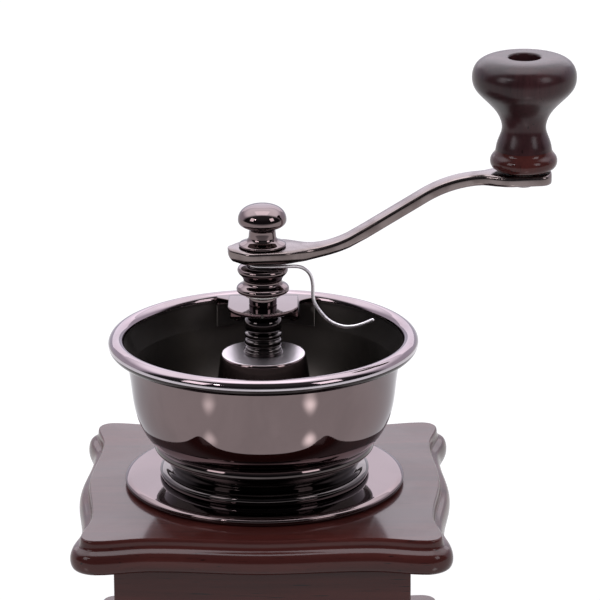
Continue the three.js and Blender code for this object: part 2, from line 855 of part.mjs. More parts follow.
function rivetProfile() {
  const { inner, outer } = rivetSpan();
  const crownRadius = rivetCrownShares[0] * rivetHeadRadius;
  const crownHeight = rivetCrownShares[1] * rivetHeadHeight;
  return [[0, inner - rivetHeadHeight], [crownRadius, inner - crownHeight], [rivetHeadRadius, inner],
    [rivetRadius, inner], [rivetRadius, outer], [rivetHeadRadius, outer],
    [crownRadius, outer + crownHeight], [0, outer + rivetHeadHeight]];
}

function rivetHoleProfile() {
  const { inner, outer } = rivetSpan();
  const bore = rivetRadius + seatGap;
  return [[0, inner - cutOverrun], [bore, inner - cutOverrun], [bore, outer + cutOverrun], [0, outer + cutOverrun]];
}

function rivet([, degrees], profile) {
  const { low, along } = wallLine();
  const level = bracketArmLevel - bracketLipDepth + rivetLift;
  const place = [low[0] + ((level - low[1]) * along.x) / along.y, level];
  const tilt = Math.atan2(along.x, along.y);
  return turned(profile, smallFacets)
    .rotateY(Math.PI / 2 + tilt)
    .translate(place[0], 0, place[1])
    .rotateZ(THREE.MathUtils.degToRad(degrees));
}

function bearings() {
  add('bearing_sleeve', turned(sleeveProfile(), turnedFacets), 'gunmetal');
  const bore = shaftRadius + runGap;
  const spigot = bore + bushWall;
  const bushHole = disc(spigot + seatGap, bracketLow - cutOverrun, bracketTop + cutOverrun, turnedFacets);
  const rivetHoles = rivetPlaces.map((place) => rivet(place, rivetHoleProfile()));
  add('top_bracket', cut(bracketPlate(), [bushHole, ...rivetHoles]), 'gunmetal');
  const bush = [[bore, bracketLow], [spigot, bracketLow], [spigot, bushLow], [bushRadius, bushLow],
    [bushRadius, bushTop], [bore, bushTop], [bore, bracketLow]];
  add('top_bush', turned(bush, turnedFacets), 'gunmetal');
  for (const place of rivetPlaces) {
    add(place[0], rivet(place, rivetProfile()), 'gunmetal');
  }
}

// Burrs and spindle

// One tooth round the circle: place within the tooth and depth shares
const toothShares = [
  [0, 0],
  [0.25, 0],
  [0.4, 1],
];

// A ring of teeth: inward teeth are cut out of a wall, outward ones out of a cone
function toothedRing(radius, depth, teeth, turn, level, outward) {
  const points = [];
  for (let tooth = 0; tooth < teeth; tooth++) {
    for (const [place, cutShare] of toothShares) {
      const angle = ((tooth + place + turn) * 2 * Math.PI) / teeth;
      const reach = radius + (outward ? -1 : 1) * cutShare * depth;
      points.push([reach * Math.cos(angle), reach * Math.sin(angle), level]);
    }
  }
  return points;
}

// Radius, level, tooth depth and twist of the cone from its foot to its nose, as shares
const coneShares = [
  [0.97, 0, 0.25, 0],
  [1, 0.06, 0.3, 0.1],
  [0.955, 0.22, 0.4, 0.5],
  [0.86, 0.42, 0.7, 1],
  [0.73, 0.62, 1, 1.5],
  [0.6, 0.8, 1, 2],
  [0.46, 1, 0.6, 2.5],
];

function burrCone() {
  const rings = coneShares.map(([out, up, depth, turn]) => {
    return toothedRing(out * coneRadius, depth * toothDepth, coneTeeth, turn, coneLow + up * coneHeight, true);
  });
  const bore = disc(shaftRadius + seatGap, coneLow - cutOverrun, coneTop + cutOverrun, turnedFacets);
  return cut(skin(rings), [bore]);
}

// Radius, level, tooth depth and twist of the ring's throat from its foot to its mouth, as shares
const throatShares = [
  [0, 0, 0.3, 0],
  [0, 0.3, 0.4, -0.4],
  [0.35, 0.7, 0.7, -1],
  [0.5, 1, 0.8, -1.4],
];

function burrRing() {
  const height = ringTop - ringLow;
  const throat = throatShares.map(([out, up, depth, turn]) => {
    const radius = ringInnerRadius + out * (ringWall - toothDepth);
    return toothedRing(radius, depth * toothDepth, ringTeeth, turn, ringLow + up * height, false);
  });
  const outer = ringInnerRadius + ringWall;
  const wall = (turn, level) => toothedRing(outer, 0, ringTeeth, turn, level, false);
  const lastTurn = throatShares.at(-1)[3];
  return skin([wall(0, ringLow), wall(lastTurn, ringTop), ...throat.reverse()], true);
}

function carrierProfile() {
  const lipInner = carrierBore - carrierLip;
  const lipTop = carrierLow + sheetThickness;
  return [[lipInner, carrierLow], [carrierFlangeRadius, carrierLow], [carrierFlangeRadius, carrierTop],
    [carrierOuter, carrierTop], [carrierOuter, ringTop], [carrierBore, ringTop],
    [carrierBore, lipTop], [lipInner, lipTop], [lipInner, carrierLow]];
}

function shaft() {
  const tailLow = burrWasherLow + burrWasherThickness + seatGap / 2 - shaftTail;
  const shoulder = coneLow + seatGap;
  const squareTop = hubTop + liftRoom;
  const profile = [[0, tailLow], [shaftThreadRadius, tailLow], [shaftThreadRadius, shoulder],
    [shaftRadius, shoulder], [shaftRadius, collarLow], [collarRadius, collarLow],
    [collarRadius, collarLow + collarHeight], [shaftRadius, collarLow + collarHeight],
    [shaftRadius, squareTop], [shaftThreadRadius, squareTop],
    [shaftThreadRadius, capLow + capNutThread], [0, capLow + capNutThread]];
  const flats = [0, 1, 2, 3].map((turn) => {
    const low = [squareHalf, -shaftRadius - cutOverrun, hubLow - liftRoom];
    const flat = block(low, [shaftRadius + cutOverrun, shaftRadius + cutOverrun, squareTop + cutOverrun]);
    return flat.rotateZ((turn * Math.PI) / 2);
  });
  const turnedFlats = flats.map((flat) => flat.rotateZ(crankGroup.rotation.z));
  return cut(turned(profile, turnedFacets), turnedFlats);
}

// A compression spring with a closed turn at each end
class SpringPath extends THREE.Curve {
  getPoint(t, target = new THREE.Vector3()) {
    const turn = t * springTurns;
    const closedRise = springWire + 2 * seatGap;
    const openTurns = springTurns - 2;
    const openRise = (springLength - springWire - 2 * closedRise) / openTurns;
    const opened = THREE.MathUtils.clamp(turn - 1, 0, openTurns);
    const rise = (turn - opened) * closedRise + opened * openRise;
    const angle = turn * 2 * Math.PI;
    const level = springLow + springWire / 2 + rise;
    return target.set(springRadius * Math.cos(angle), springRadius * Math.sin(angle), level);
  }
}

const springStepsPerTurn = 8;
const springSides = 5;

// The least room between the spring's turns, over every pair of points more than half a turn apart
function leastSpringGap(path) {
  const points = path.getPoints(springTurns * springStepsPerTurn * 2);
  const apart = springStepsPerTurn;
  let least = Infinity;
  points.forEach((point, i) => {
    for (let j = i + apart; j < points.length; j++) {
      least = Math.min(least, point.distanceTo(points[j]) - springWire);
    }
  });
  return least;
}

function hexagonNut(radius, bore, low, high) {
  return cut(disc(radius, low, high, 6), [disc(bore, low - cutOverrun, high + cutOverrun, smallFacets)]);
}

function burrs() {
  const bore = shaftRadius + runGap;
  const threadBore = shaftThreadRadius + seatGap;
  const holes = screwHoles(hopperScrewPlaces, hopperScrewRadius, carrierLow, carrierTop);
  add('burr_carrier', cut(turned(carrierProfile(), domeFacets), holes), 'iron');
  add('burr_ring', burrRing(), 'iron');
  add('burr_cone', burrCone(), 'iron');
  add('shaft', shaft(), 'steel');
  const washerTop = burrWasherLow + burrWasherThickness;
  add('burr_washer', washer(burrWasherRadius, threadBore, burrWasherLow, washerTop, turnedFacets), 'steel');
  add('burr_nut', hexagonNut(burrNutRadius, threadBore, burrNutLow, burrNutLow + burrNutHeight), 'steel');
  const path = new SpringPath();
  const springMesh = tube(path, springWire / 2, springSides, springTurns * springStepsPerTurn);
  add('burr_spring', springMesh, 'steel');
  console.log(`burr_spring least gap ${leastSpringGap(path).toFixed(2)} mm`);
  const seatLow = springHigh + seatGap;
  const seatHigh = seatLow + springWasherThickness;
  add('spring_washer', washer(springWasherRadius, bore, seatLow, seatHigh, turnedFacets), 'steel');
  hopperScrewPlaces.forEach(([x, y], i) => {
    const headLow = domeLow + sheetThickness + seatGap;
    const headTop = headLow + hopperScrewHeadHeight;
    const nutHigh = carrierLow - seatGap;
    const nutFoot = nutHigh - hopperNutHeight;
    const end = nutFoot - seatGap;
    const profile = [[0, end], [hopperScrewRadius, end], [hopperScrewRadius, headLow],
      [hopperScrewHeadRadius, headLow], [hopperScrewHeadRadius, headLow + hopperScrewHeadHeight / 3],
      [hopperScrewHeadRadius / 2, headTop], [0, headTop]];
    add(`hopper_screw_${i + 1}`, turned(profile, smallFacets).translate(x, y, 0), 'steel');
    const nut = hexagonNut(hopperNutRadius, hopperScrewRadius + seatGap, nutFoot, nutHigh);
    add(`hopper_nut_${i + 1}`, nut.translate(x, y, 0), 'steel');
  });
}

// Crank

// Adjusting nut, a spool with two rings: radius and height shares
const nutShares = [
  [0.8, 0],
  [0.97, 0.06],
  [1, 0.15],
  [0.94, 0.24],
  [0.76, 0.36],
  [0.735, 0.46],
  [0.79, 0.6],
  [0.93, 0.74],
  [0.96, 0.84],
  [0.9, 0.94],
  [0.72, 1],
];

// Cap nut, a flared foot, a neck and a rounded head
const capShares = [
  [0.98, 0],
  [0.97, 0.05],
  [0.62, 0.13],
  [0.565, 0.2],
  [0.565, 0.42],
  [0.84, 0.5],
  [0.99, 0.61],
  [1, 0.68],
  [0.92, 0.82],
  [0.64, 0.95],
  [0.3, 0.995],
];

function nutProfile() {
  const bore = shaftRadius + runGap;
  return [[bore, nutLow], ...scaled(nutShares, nutRadius, nutHeight, nutLow), [bore, nutTop], [bore, nutLow]];
}

function capProfile() {
  const throat = shaftRadius + runGap;
  const thread = shaftThreadRadius + seatGap;
  const throatTop = capLow + 2 * liftRoom;
  const threadTop = capLow + capNutThread + liftRoom;
  return [[0, threadTop], [thread, threadTop], [thread, throatTop], [throat, throatTop], [throat, capLow],
    ...scaled(capShares, capNutRadius, capNutHeight, capLow), [0, capLow + capNutHeight]];
}

// From the hub's shoulder to the pad's: place, narrowing to the bar, widening to the pad,
// rise, and thinning to the bar, all as shares
const armShares = [
  [0, 0, 0, 0, 0],
  [0.053, 0.47, 0, 0, 0.4],
  [0.106, 0.83, 0, 0, 0.8],
  [0.188, 0.97, 0, 0.01, 1],
  [0.247, 1, 0, 0.073, 1],
  [0.318, 1, 0, 0.19, 1],
  [0.529, 1, 0, 0.564, 1],
  [0.659, 1, 0, 0.81, 1],
  [0.718, 1, 0, 0.91, 1],
  [0.765, 1, 0, 0.965, 1],
  [0.835, 1, 0, 1, 1],
  [0.882, 1, 0, 1, 1],
  [0.941, 1, 0.5, 1, 1],
  [1, 1, 1, 1, 1],
];

// Place along the arm, half width, level of the middle and thickness
function armStations() {
  const hubMiddle = (hubLow + hubTop) / 2;
  const padMiddle = padTop - barThickness / 2;
  const span = crankRadius - padShoulder - hubShoulder;
  const rows = armShares.map(([place, narrow, wide, rise, thin]) => {
    const narrowed = hubHalfWidth + narrow * (barHalfWidth - hubHalfWidth);
    const half = narrowed + wide * (padHalfWidth - barHalfWidth);
    const thickness = hubThickness + thin * (barThickness - hubThickness);
    return [hubShoulder + place * span, half, hubMiddle + rise * crankRise, thickness];
  });
  const end = crankRadius + padTip;
  return [
    [-hubTip, hubTipHalfWidth, hubMiddle, hubThickness],
    [hubTaper - hubTip, hubHalfWidth, hubMiddle, hubThickness],
    ...rows,
    [end - padTaper, padHalfWidth, padMiddle, barThickness],
    [end, padEndHalfWidth, padMiddle, barThickness],
  ];
}

function armSection([x, half, middle, thickness], slope) {
  const low = middle - thickness / 2 / Math.cos(slope);
  const top = middle + thickness / 2 / Math.cos(slope);
  return [
    [x, half, low + barBevel],
    [x, half, top - barBevel],
    [x, half - barBevel, top],
    [x, barBevel - half, top],
    [x, -half, top - barBevel],
    [x, -half, low + barBevel],
    [x, barBevel - half, low],
    [x, half - barBevel, low],
  ];
}

function crankArm() {
  const stations = armStations();
  const rings = stations.map((station, i) => {
    const before = stations[Math.max(i - 1, 0)];
    const after = stations[Math.min(i + 1, stations.length - 1)];
    const slope = Math.atan2(after[2] - before[2], after[0] - before[0]);
    return armSection(station, slope);
  });
  const hole = squareHalf + runGap;
  const square = block([-hole, -hole, hubLow - cutOverrun], [hole, hole, hubTop + cutOverrun]);
  const pinHole = disc(pinRadius + seatGap, padTop - barThickness - cutOverrun, padTop + cutOverrun, smallFacets);
  return cut(skin(rings), [square, pinHole.translate(crankRadius, 0, 0)]);
}

// Stirrer wire: out, sideways and drop shares of its reach, its eye and its drop
const wireShares = [
  [0.14, -0.95, 0],
  [0.25, -0.75, 0.01],
  [0.345, -0.5, 0.04],
  [0.425, -0.2, 0.17],
  [0.45, -0.05, 0.38],
  [0.455, 0, 0.58],
  [0.505, 0, 0.74],
  [0.6, 0, 0.91],
  [0.74, 0, 1],
  [0.88, 0, 0.97],
  [1, 0, 0.885],
];
const wireEyeSteps = 9;
const wireSides = 5;
const wireSteps = 32;

function stirrerWire() {
  const eye = shaftRadius + runGap + 2 * wireRadius;
  const points = arc(eye, 0, 0, 0, 270, wireEyeSteps).map(([x, y]) => new THREE.Vector3(x, y, wireLevel));
  for (const [out, side, down] of wireShares) {
    points.push(new THREE.Vector3(out * wireReach, side * eye, wireLevel - down * wireDrop));
  }
  return tube(new THREE.CatmullRomCurve3(points), wireRadius, wireSides, wireSteps);
}

// Crank knob: radius and height shares
const knobShares = [
  [0.55, 0],
  [0.586, 0.012],
  [0.638, 0.048],
  [0.621, 0.106],
  [0.545, 0.152],
  [0.522, 0.215],
  [0.463, 0.292],
  [0.418, 0.368],
  [0.465, 0.458],
  [0.573, 0.54],
  [0.779, 0.639],
  [0.95, 0.724],
  [1, 0.809],
  [0.98, 0.886],
  [0.88, 0.952],
  [0.72, 0.987],
  [0.558, 1],
];

function knobProfile() {
  const bore = pinRadius + runGap;
  const top = knobLow + knobHeight;
  const ledge = top - knobHoleDepth;
  return [[bore, knobLow], ...scaled(knobShares, knobRadius, knobHeight, knobLow),
    [knobHoleRadius, top], [knobHoleRadius, ledge], [bore, ledge], [bore, knobLow]];
}

const pinCrownShare = 0.7;

function pinProfile() {
  const tail = padTop - barThickness - seatGap;
  const ledge = knobLow + knobHeight - knobHoleDepth + seatGap;
  const headTop = ledge + pinHeadHeight;
  return [[0, tail - pinTailHeight], [pinCrownShare * pinTailRadius, tail - pinTailHeight],
    [pinTailRadius, tail], [pinRadius, tail], [pinRadius, ledge], [pinHeadRadius, ledge],
    [pinHeadRadius, ledge + pinHeadHeight / 2], [pinCrownShare * pinHeadRadius, headTop], [0, headTop]];
}

function crank() {
  const bore = shaftRadius + runGap;
  const thrustTop = thrustLow + thrustWasherThickness;
  add('thrust_washer', washer(thrustWasherRadius, bore, thrustLow, thrustTop, turnedFacets), 'steel');
  add('adjusting_nut', turned(nutProfile(), nutFacets), 'gunmetal');
  add('stirrer_wire', stirrerWire(), 'gunmetal');
  add('crank_arm', crankArm(), 'gunmetal', crankGroup);
  add('cap_nut', turned(capProfile(), nutFacets), 'gunmetal', crankGroup);
  const atKnob = new THREE.Group();
  atKnob.position.x = crankRadius;
  crankGroup.add(atKnob);
  add('knob_pin', turned(pinProfile(), smallFacets), 'gunmetal', atKnob);
  const washerTop = knobWasherLow + knobWasherThickness;
  const washerBore = pinRadius + runGap;
  add('knob_washer', washer(knobWasherRadius, washerBore, knobWasherLow, washerTop, turnedFacets), 'steel', atKnob);
  add('crank_knob', turned(knobProfile(), knobFacets), 'wood', atKnob);
}

box();
drawer();
hopper();
bearings();
burrs();
crank();

export default grinder;
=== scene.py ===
# %% [markdown]
# # A manual coffee grinder, dressed
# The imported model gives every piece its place, in metres, with the floor at zero
# and the shaft on the Z axis. This lesson puts smooth, finely made surfaces over its
# faceted solids and gives them their finishes: dark lacquered wood, polished black
# nickel, turned steel, cast iron and felt.

import json
import math

import bmesh
import bpy
import numpy as np
from mathutils import Matrix

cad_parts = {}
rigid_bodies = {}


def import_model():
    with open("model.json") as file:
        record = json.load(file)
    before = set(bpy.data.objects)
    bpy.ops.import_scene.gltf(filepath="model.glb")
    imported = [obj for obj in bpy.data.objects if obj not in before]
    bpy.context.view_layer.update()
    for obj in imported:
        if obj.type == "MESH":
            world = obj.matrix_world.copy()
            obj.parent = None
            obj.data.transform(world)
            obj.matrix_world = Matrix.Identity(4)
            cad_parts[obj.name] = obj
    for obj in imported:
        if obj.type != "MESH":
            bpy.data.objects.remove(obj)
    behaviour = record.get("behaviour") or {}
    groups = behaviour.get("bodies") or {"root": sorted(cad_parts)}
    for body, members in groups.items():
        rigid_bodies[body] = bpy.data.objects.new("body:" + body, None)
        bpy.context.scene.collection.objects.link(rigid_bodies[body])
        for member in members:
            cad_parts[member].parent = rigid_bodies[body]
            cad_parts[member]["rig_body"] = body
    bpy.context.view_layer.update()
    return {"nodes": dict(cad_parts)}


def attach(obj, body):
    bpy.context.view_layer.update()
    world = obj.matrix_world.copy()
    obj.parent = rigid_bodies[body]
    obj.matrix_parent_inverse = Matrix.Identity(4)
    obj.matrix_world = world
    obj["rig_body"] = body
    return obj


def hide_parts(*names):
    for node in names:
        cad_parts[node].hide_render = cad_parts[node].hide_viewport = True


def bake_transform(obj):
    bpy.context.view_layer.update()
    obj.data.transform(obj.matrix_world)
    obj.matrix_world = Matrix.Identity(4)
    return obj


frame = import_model()
body_of_node = {name: node["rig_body"] for name, node in frame["nodes"].items()}

# %% [markdown]
# ## The camera
# The picture was taken from a step away with a long lens, looking down about 17
# degrees on the grinder. A long lens keeps parallel edges nearly parallel. The
# place and the tilt were fitted to the outlines of the rim, the crank and the board.

# %% Camera
camera_place = np.array([0.0356, -1.5834, 0.6617])
camera_pitch, camera_yaw, camera_roll = np.radians([17.46, -0.77, -0.38])
camera_lens, camera_sensor = 257.79, 36  # mm

level = np.array([math.cos(camera_yaw), -math.sin(camera_yaw), 0])
ahead = np.array([math.sin(camera_yaw), math.cos(camera_yaw), 0])
forward = math.cos(camera_pitch) * ahead - [0, 0, math.sin(camera_pitch)]
upright = np.cross(level, forward)
right = math.cos(camera_roll) * level + math.sin(camera_roll) * upright
upwards = math.cos(camera_roll) * upright - math.sin(camera_roll) * level


def set_out(name, data, *axes_and_place):
    """A new object in the scene. Its three axes and its place may be given: they are
    the columns of its matrix."""
    made = bpy.data.objects.new(name, data)
    bpy.context.scene.collection.objects.link(made)
    if axes_and_place:
        made.matrix_world = Matrix([*np.column_stack(axes_and_place).tolist(), [0, 0, 0, 1]])
    return made


camera_data = bpy.data.cameras.new("camera")
camera_data.lens, camera_data.sensor_width = camera_lens, camera_sensor
camera_data.clip_start, camera_data.clip_end = 0.1, 100
camera = set_out("camera", camera_data, right, upwards, -forward, camera_place)
bpy.context.scene.camera = camera
print("camera", camera_place, "lens", camera_lens)

# %% [markdown]
# ## Surfaces from numbers
# Nearly every piece of a grinder was turned on a lathe, bent from a strip or run
# along a cutter. Each of these is a grid of points worked out from two parameters:
# one runs along the profile, the other round it or along the path. One function
# turns such a grid into a mesh, and closes it with a loop or with its two ends.

# %% Grid to mesh
MM = 0.001
sharp_edge = math.radians(38)


def grid_faces(rows, columns, looped):
    """Quads between neighbouring rows; columns always close on themselves."""
    index = np.arange(rows * columns).reshape(rows, columns)
    low = index if looped else index[:-1]
    high = np.roll(index, -1, axis=0) if looped else index[1:]
    quads = [low, np.roll(low, -1, axis=1), np.roll(high, -1, axis=1), high]
    return np.stack(quads, axis=-1).reshape(-1, 4)


def cap_faces(ring, middle, flipped):
    """Triangles from the middle point to each pair of neighbours in a ring."""
    pair = (np.roll(ring, -1), ring) if flipped else (ring, np.roll(ring, -1))
    return np.stack([np.full(len(ring), middle), *pair], axis=-1)


def strip_cap(ring, flipped):
    """Quads across a long thin ring, whose second half runs back beside the first."""
    there, back = ring[: len(ring) // 2], ring[len(ring) // 2 :][::-1]
    quads = np.stack([there[:-1], there[1:], back[1:], back[:-1]], axis=-1)
    return quads[:, ::-1] if flipped else quads


def shell(grid, looped=False, strip=False):
    """Points and faces of one closed shell over a grid [row, column, xyz]. Its rows
    close in a loop, or its ends are capped: across a strip, or to their middle."""
    rows, columns = grid.shape[:2]
    points = grid.reshape(-1, 3)
    faces = grid_faces(rows, columns, looped).tolist()
    first = np.arange(columns)
    last = first + (rows - 1) * columns
    if strip:
        faces += strip_cap(first, True).tolist() + strip_cap(last, False).tolist()
    elif not looped:
        faces += cap_faces(first, len(points), True).tolist()
        faces += cap_faces(last, len(points) + 1, False).tolist()
        points = np.vstack([points, grid[0].mean(axis=0), grid[-1].mean(axis=0)])
    return points, faces


def volume(mesh):
    """What a closed mesh holds, in cubic millimetres; below zero if it is inside out."""
    solid = bmesh.new()
    solid.from_mesh(mesh)
    held = solid.calc_volume(signed=True) / MM**3
    solid.free()
    return held


def piece(node, slot, finish, *shells, rides=True):
    """A mesh of closed shells that stands for a CAD node and rides on its body."""
    points, faces, start = [], [], 0
    for shell_points, shell_faces in shells:
        points.append(shell_points)
        faces += [[corner + start for corner in face] for face in shell_faces]
        start += len(shell_points)
    mesh = bpy.data.meshes.new(node + "_fine")
    mesh.from_pydata((np.vstack(points) * MM).tolist(), [], faces)
    mesh.validate()
    mesh.shade_smooth()
    mesh.set_sharp_from_angle(angle=sharp_edge)
    mesh.materials.append(finish)
    made = set_out(node + "_fine", mesh)
    if rides:
        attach(made, body_of_node[node])
    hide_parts(node)
    print(made.name, len(mesh.polygons), "faces,", round(volume(mesh)), "mm3")
    return made


def finish_rows(made, columns, *bands):
    """Gives bands of a grid's rows a finish of their own; a band is its first row,
    the row past its last, and the finish."""
    index = np.zeros(len(made.data.polygons), int)
    for number, (first, last, finish) in enumerate(bands, 1):
        made.data.materials.append(finish)
        index[first * columns : last * columns] = number
    made.data.polygons.foreach_set("material_index", index)
    print(made.name, "has", len(made.data.materials), "finishes")


# %% [markdown]
# ## Smooth lines and eased corners
# A turner works from a few measured diameters and lets the tool flow between them.
# `flowing` does the same with a natural cubic spline, whose curvature has no jumps,
# so that a mirror finish shows no kinks. `eased` takes the sharpness off the corners
# of a stepped outline, as a file does, and gives each edge its thin highlight.

# %% Lines
def flowing(points, steps=8):
    """Natural cubic spline through the points, by the root of the length between
    them: the second slopes solve a tridiagonal system and are zero at the ends."""
    p = np.asarray(points, float)
    side = np.sqrt(np.linalg.norm(np.diff(p, axis=0), axis=1))
    count = len(p)
    system, known = np.eye(count), np.zeros_like(p)
    for i in range(1, count - 1):
        system[i, i - 1 : i + 2] = side[i - 1], 2 * (side[i - 1] + side[i]), side[i]
        known[i] = 6 * ((p[i + 1] - p[i]) / side[i] - (p[i] - p[i - 1]) / side[i - 1])
    bend = np.linalg.solve(system, known)
    t = np.linspace(0, 1, steps, endpoint=False)[None, :, None]
    h = side[:, None, None]
    a, b, ba, bb = p[:-1, None], p[1:, None], bend[:-1, None], bend[1:, None]
    curve = (1 - t) * a + t * b
    curve = curve + h**2 / 6 * (((1 - t) ** 3 - (1 - t)) * ba + (t**3 - t) * bb)
    return np.vstack([curve.reshape(-1, p.shape[1]), p[-1:]])


def eased(points, radius, steps=4, looped=False):
    """Each corner becomes a curve (1-t)^2 start + 2t(1-t) corner + t^2 end, which
    begins and ends a radius away from it, or at 45% of a shorter side."""
    p = np.asarray(points, float)
    back, ahead = np.roll(p, 1, axis=0) - p, np.roll(p, -1, axis=0) - p
    long_back = np.linalg.norm(back, axis=1, keepdims=True) + 1e-12
    long_ahead = np.linalg.norm(ahead, axis=1, keepdims=True) + 1e-12
    start = p + back / long_back * np.minimum(radius, 0.45 * long_back)
    end = p + ahead / long_ahead * np.minimum(radius, 0.45 * long_ahead)
    t = np.linspace(0, 1, steps + 1)[None, :, None]
    curve = (1 - t) ** 2 * start[:, None] + 2 * t * (1 - t) * p[:, None] + t**2 * end[:, None]
    if looped:
        return curve.reshape(-1, p.shape[1])
    return np.vstack([p[:1], curve[1:-1].reshape(-1, p.shape[1]), p[-1:]])


def scaled(shares, wide, high, low, start=0.0):
    """Shares of a width and a height, set beyond a start and above a level."""
    return np.asarray(shares, float) * [wide, high] + [start, low]


def unit(vectors):
    """The vectors' directions, each one long."""
    return vectors / np.linalg.norm(vectors, axis=-1, keepdims=True)


def around(radius, angle, level, at=(0, 0)):
    """Points (r cos a, r sin a, z), moved to their axis; each may be an array."""
    x, y = at[0] + radius * np.cos(angle), at[1] + radius * np.sin(angle)
    return np.stack(np.broadcast_arrays(x, y, level), axis=-1)


def turned(profile, turns=96, at=(0, 0)):
    """Surface of revolution of a profile (r, z). The profile closes in a loop, or with
    a cap at both ends if it ends on the axis."""
    p = np.asarray(profile, float)
    angle = np.linspace(0, 2 * math.pi, turns, endpoint=False)
    return shell(around(p[:, :1], angle, p[:, 1:], at), looped=p[-1, 0] > 0.01)


def smoothstep(share):
    """3 s^2 - 2 s^3, with s kept between 0 and 1."""
    share = np.clip(share, 0, 1)
    return share * share * (3 - 2 * share)


print("lines: flowing, eased, scaled, turned")

# %% [markdown]
# ## Effects that several finishes share
# A shader node group is a small effect with named inputs and outputs. `smudges`
# gives the slow patches that hands and polishing leave, `fine_lines` the hair
# lines of a wiped surface, and `grain` the streaks and pores of a straight piece
# of wood. Each finish sets its own scale.

# %% Node groups
def add_node(tree, kind, links=None, **values):
    """A node with its settings, and with sockets set to a value or linked."""
    node = tree.nodes.new(kind)
    for key, value in values.items():
        setattr(node, key, value)
    for key, value in (links or {}).items():
        if isinstance(value, bpy.types.NodeSocket):
            tree.links.new(value, node.inputs[key])
        else:
            node.inputs[key].default_value = value
    return node


def remap(tree, value, low, high, out_low=0.0, out_high=1.0):
    """A value between low and high spread smoothly over another range."""
    links = {"Value": value, "From Min": low, "From Max": high}
    links |= {"To Min": out_low, "To Max": out_high}
    node = add_node(tree, "ShaderNodeMapRange", links, interpolation_type="SMOOTHSTEP")
    return node.outputs["Result"]


def calculate(tree, operation, first, second):
    """One step of arithmetic on two numbers or sockets."""
    return add_node(tree, "ShaderNodeMath", {0: first, 1: second}, operation=operation).outputs[0]


def noise(tree, vector, scale, detail, roughness, distortion=0.0):
    """Cloudy noise around 0.5; the scale is in clouds per metre."""
    links = {"Vector": vector, "Scale": scale, "Detail": detail, "Roughness": roughness}
    links["Distortion"] = distortion
    return add_node(tree, "ShaderNodeTexNoise", links).outputs["Fac"]


def stretched(tree, vector, scale, turn):
    """Coordinates turned and then scaled: a small scale draws a pattern out."""
    links = {"Vector": vector, "Rotation": turn, "Scale": scale}
    return add_node(tree, "ShaderNodeMapping", links).outputs["Vector"]


def effect(name, scale, *layers):
    """A node group of noises, one for each output: its name, the stretch and the turn
    of its coordinates, how many times finer than the group's scale it is, the noise's
    detail, roughness and distortion, and the two values that become 0 and 1."""
    group = bpy.data.node_groups.new(name, "ShaderNodeTree")
    new_socket = group.interface.new_socket
    new_socket("Vector", in_out="INPUT", socket_type="NodeSocketVector")
    new_socket("Scale", in_out="INPUT", socket_type="NodeSocketFloat").default_value = scale
    given = group.nodes.new("NodeGroupInput").outputs
    wanted = {}
    for label, stretch, turn, finer, look, low, high in layers:
        new_socket(label, in_out="OUTPUT", socket_type="NodeSocketFloat")
        vector = stretched(group, given["Vector"], stretch, turn)
        clouds = noise(group, vector, calculate(group, "MULTIPLY", given["Scale"], finer), *look)
        wanted[label] = remap(group, clouds, low, high)
    add_node(group, "NodeGroupOutput", wanted)
    return group


even, unturned, crossing = (1, 1, 1), (0, 0, 0), (0.3, 0.5, 0.2)
smudges = effect(
    "smudges",
    40.0,
    ("Patches", even, unturned, 1.0, (4.0, 0.55, 0.6), 0.36, 0.66),
    ("Specks", even, unturned, 14.0, (2.0, 0.6), 0.64, 0.76),
)
fine_lines = effect(
    "fine_lines", 900.0, ("Lines", (1, 0.03, 0.35), crossing, 1.0, (2.0, 0.7), 0.5, 0.8)
)
grain = effect(
    "grain",
    1.0,
    ("Figure", (0.09, 1, 1), unturned, 60.0, (3.0, 0.55, 1.2), 0.3, 0.7),
    ("Streaks", (0.09, 1, 1), unturned, 420.0, (4.0, 0.65, 0.3), 0.3, 0.72),
    ("Pores", (0.045, 1, 1), unturned, 1500.0, (1.0, 0.5), 0.66, 0.78),
)
print("groups", [group.name for group in bpy.data.node_groups])

# %% [markdown]
# ## Polished black nickel
# The hopper, the bearing parts and the crank are steel, polished and plated with
# black nickel: a warm dark mirror. A metal's colour is the share of light it gives
# back, so the base colour is a dark warm grey and everything else is reflection.
# Faint patches change the gloss, and very fine wiping lines bend it a little.
# The same plating also comes in tones that paint light and shade: paler tones are
# painted highlights on the rolled rim and the dome's top, and darker and nearly black
# tones are painted shade at the neck, on the sleeve and under the rim.

# %% Metals
def new_material(name, **principled):
    """A material with its Principled shader's own sockets set."""
    made = bpy.data.materials.new(name)
    made.use_nodes = True
    tree = made.node_tree
    shader = tree.nodes["Principled BSDF"]
    for key, value in principled.items():
        shader.inputs[key.replace("_", " ")].default_value = value
    place = tree.nodes.new("ShaderNodeTexCoord").outputs["Object"]
    return made, tree, shader, place


def feed(tree, shader, **sockets):
    """Links each value to the shader's socket of that name."""
    for key, value in sockets.items():
        tree.links.new(value, shader.inputs[key.replace("_", " ")])


def use_group(tree, group, vector, scale):
    """The outputs of a shared effect, at this finish's scale."""
    links = {"Vector": vector, "Scale": scale}
    return add_node(tree, "ShaderNodeGroup", links, node_tree=group).outputs


def mix_colours(tree, share, first, second):
    """Two colours mixed by a share; each is (red, green, blue) or a socket."""
    pair = [c if isinstance(c, bpy.types.NodeSocket) else (*c, 1) for c in (first, second)]
    links = {0: share, 6: pair[0], 7: pair[1]}
    return add_node(tree, "ShaderNodeMix", links, data_type="RGBA").outputs[2]


def bump(tree, height, strength, distance):
    """A normal tilted by the height's slope."""
    links = {"Height": height, "Strength": strength, "Distance": distance}
    return add_node(tree, "ShaderNodeBump", links).outputs["Normal"]


glancing = (0.8, 0.81, 0.83)


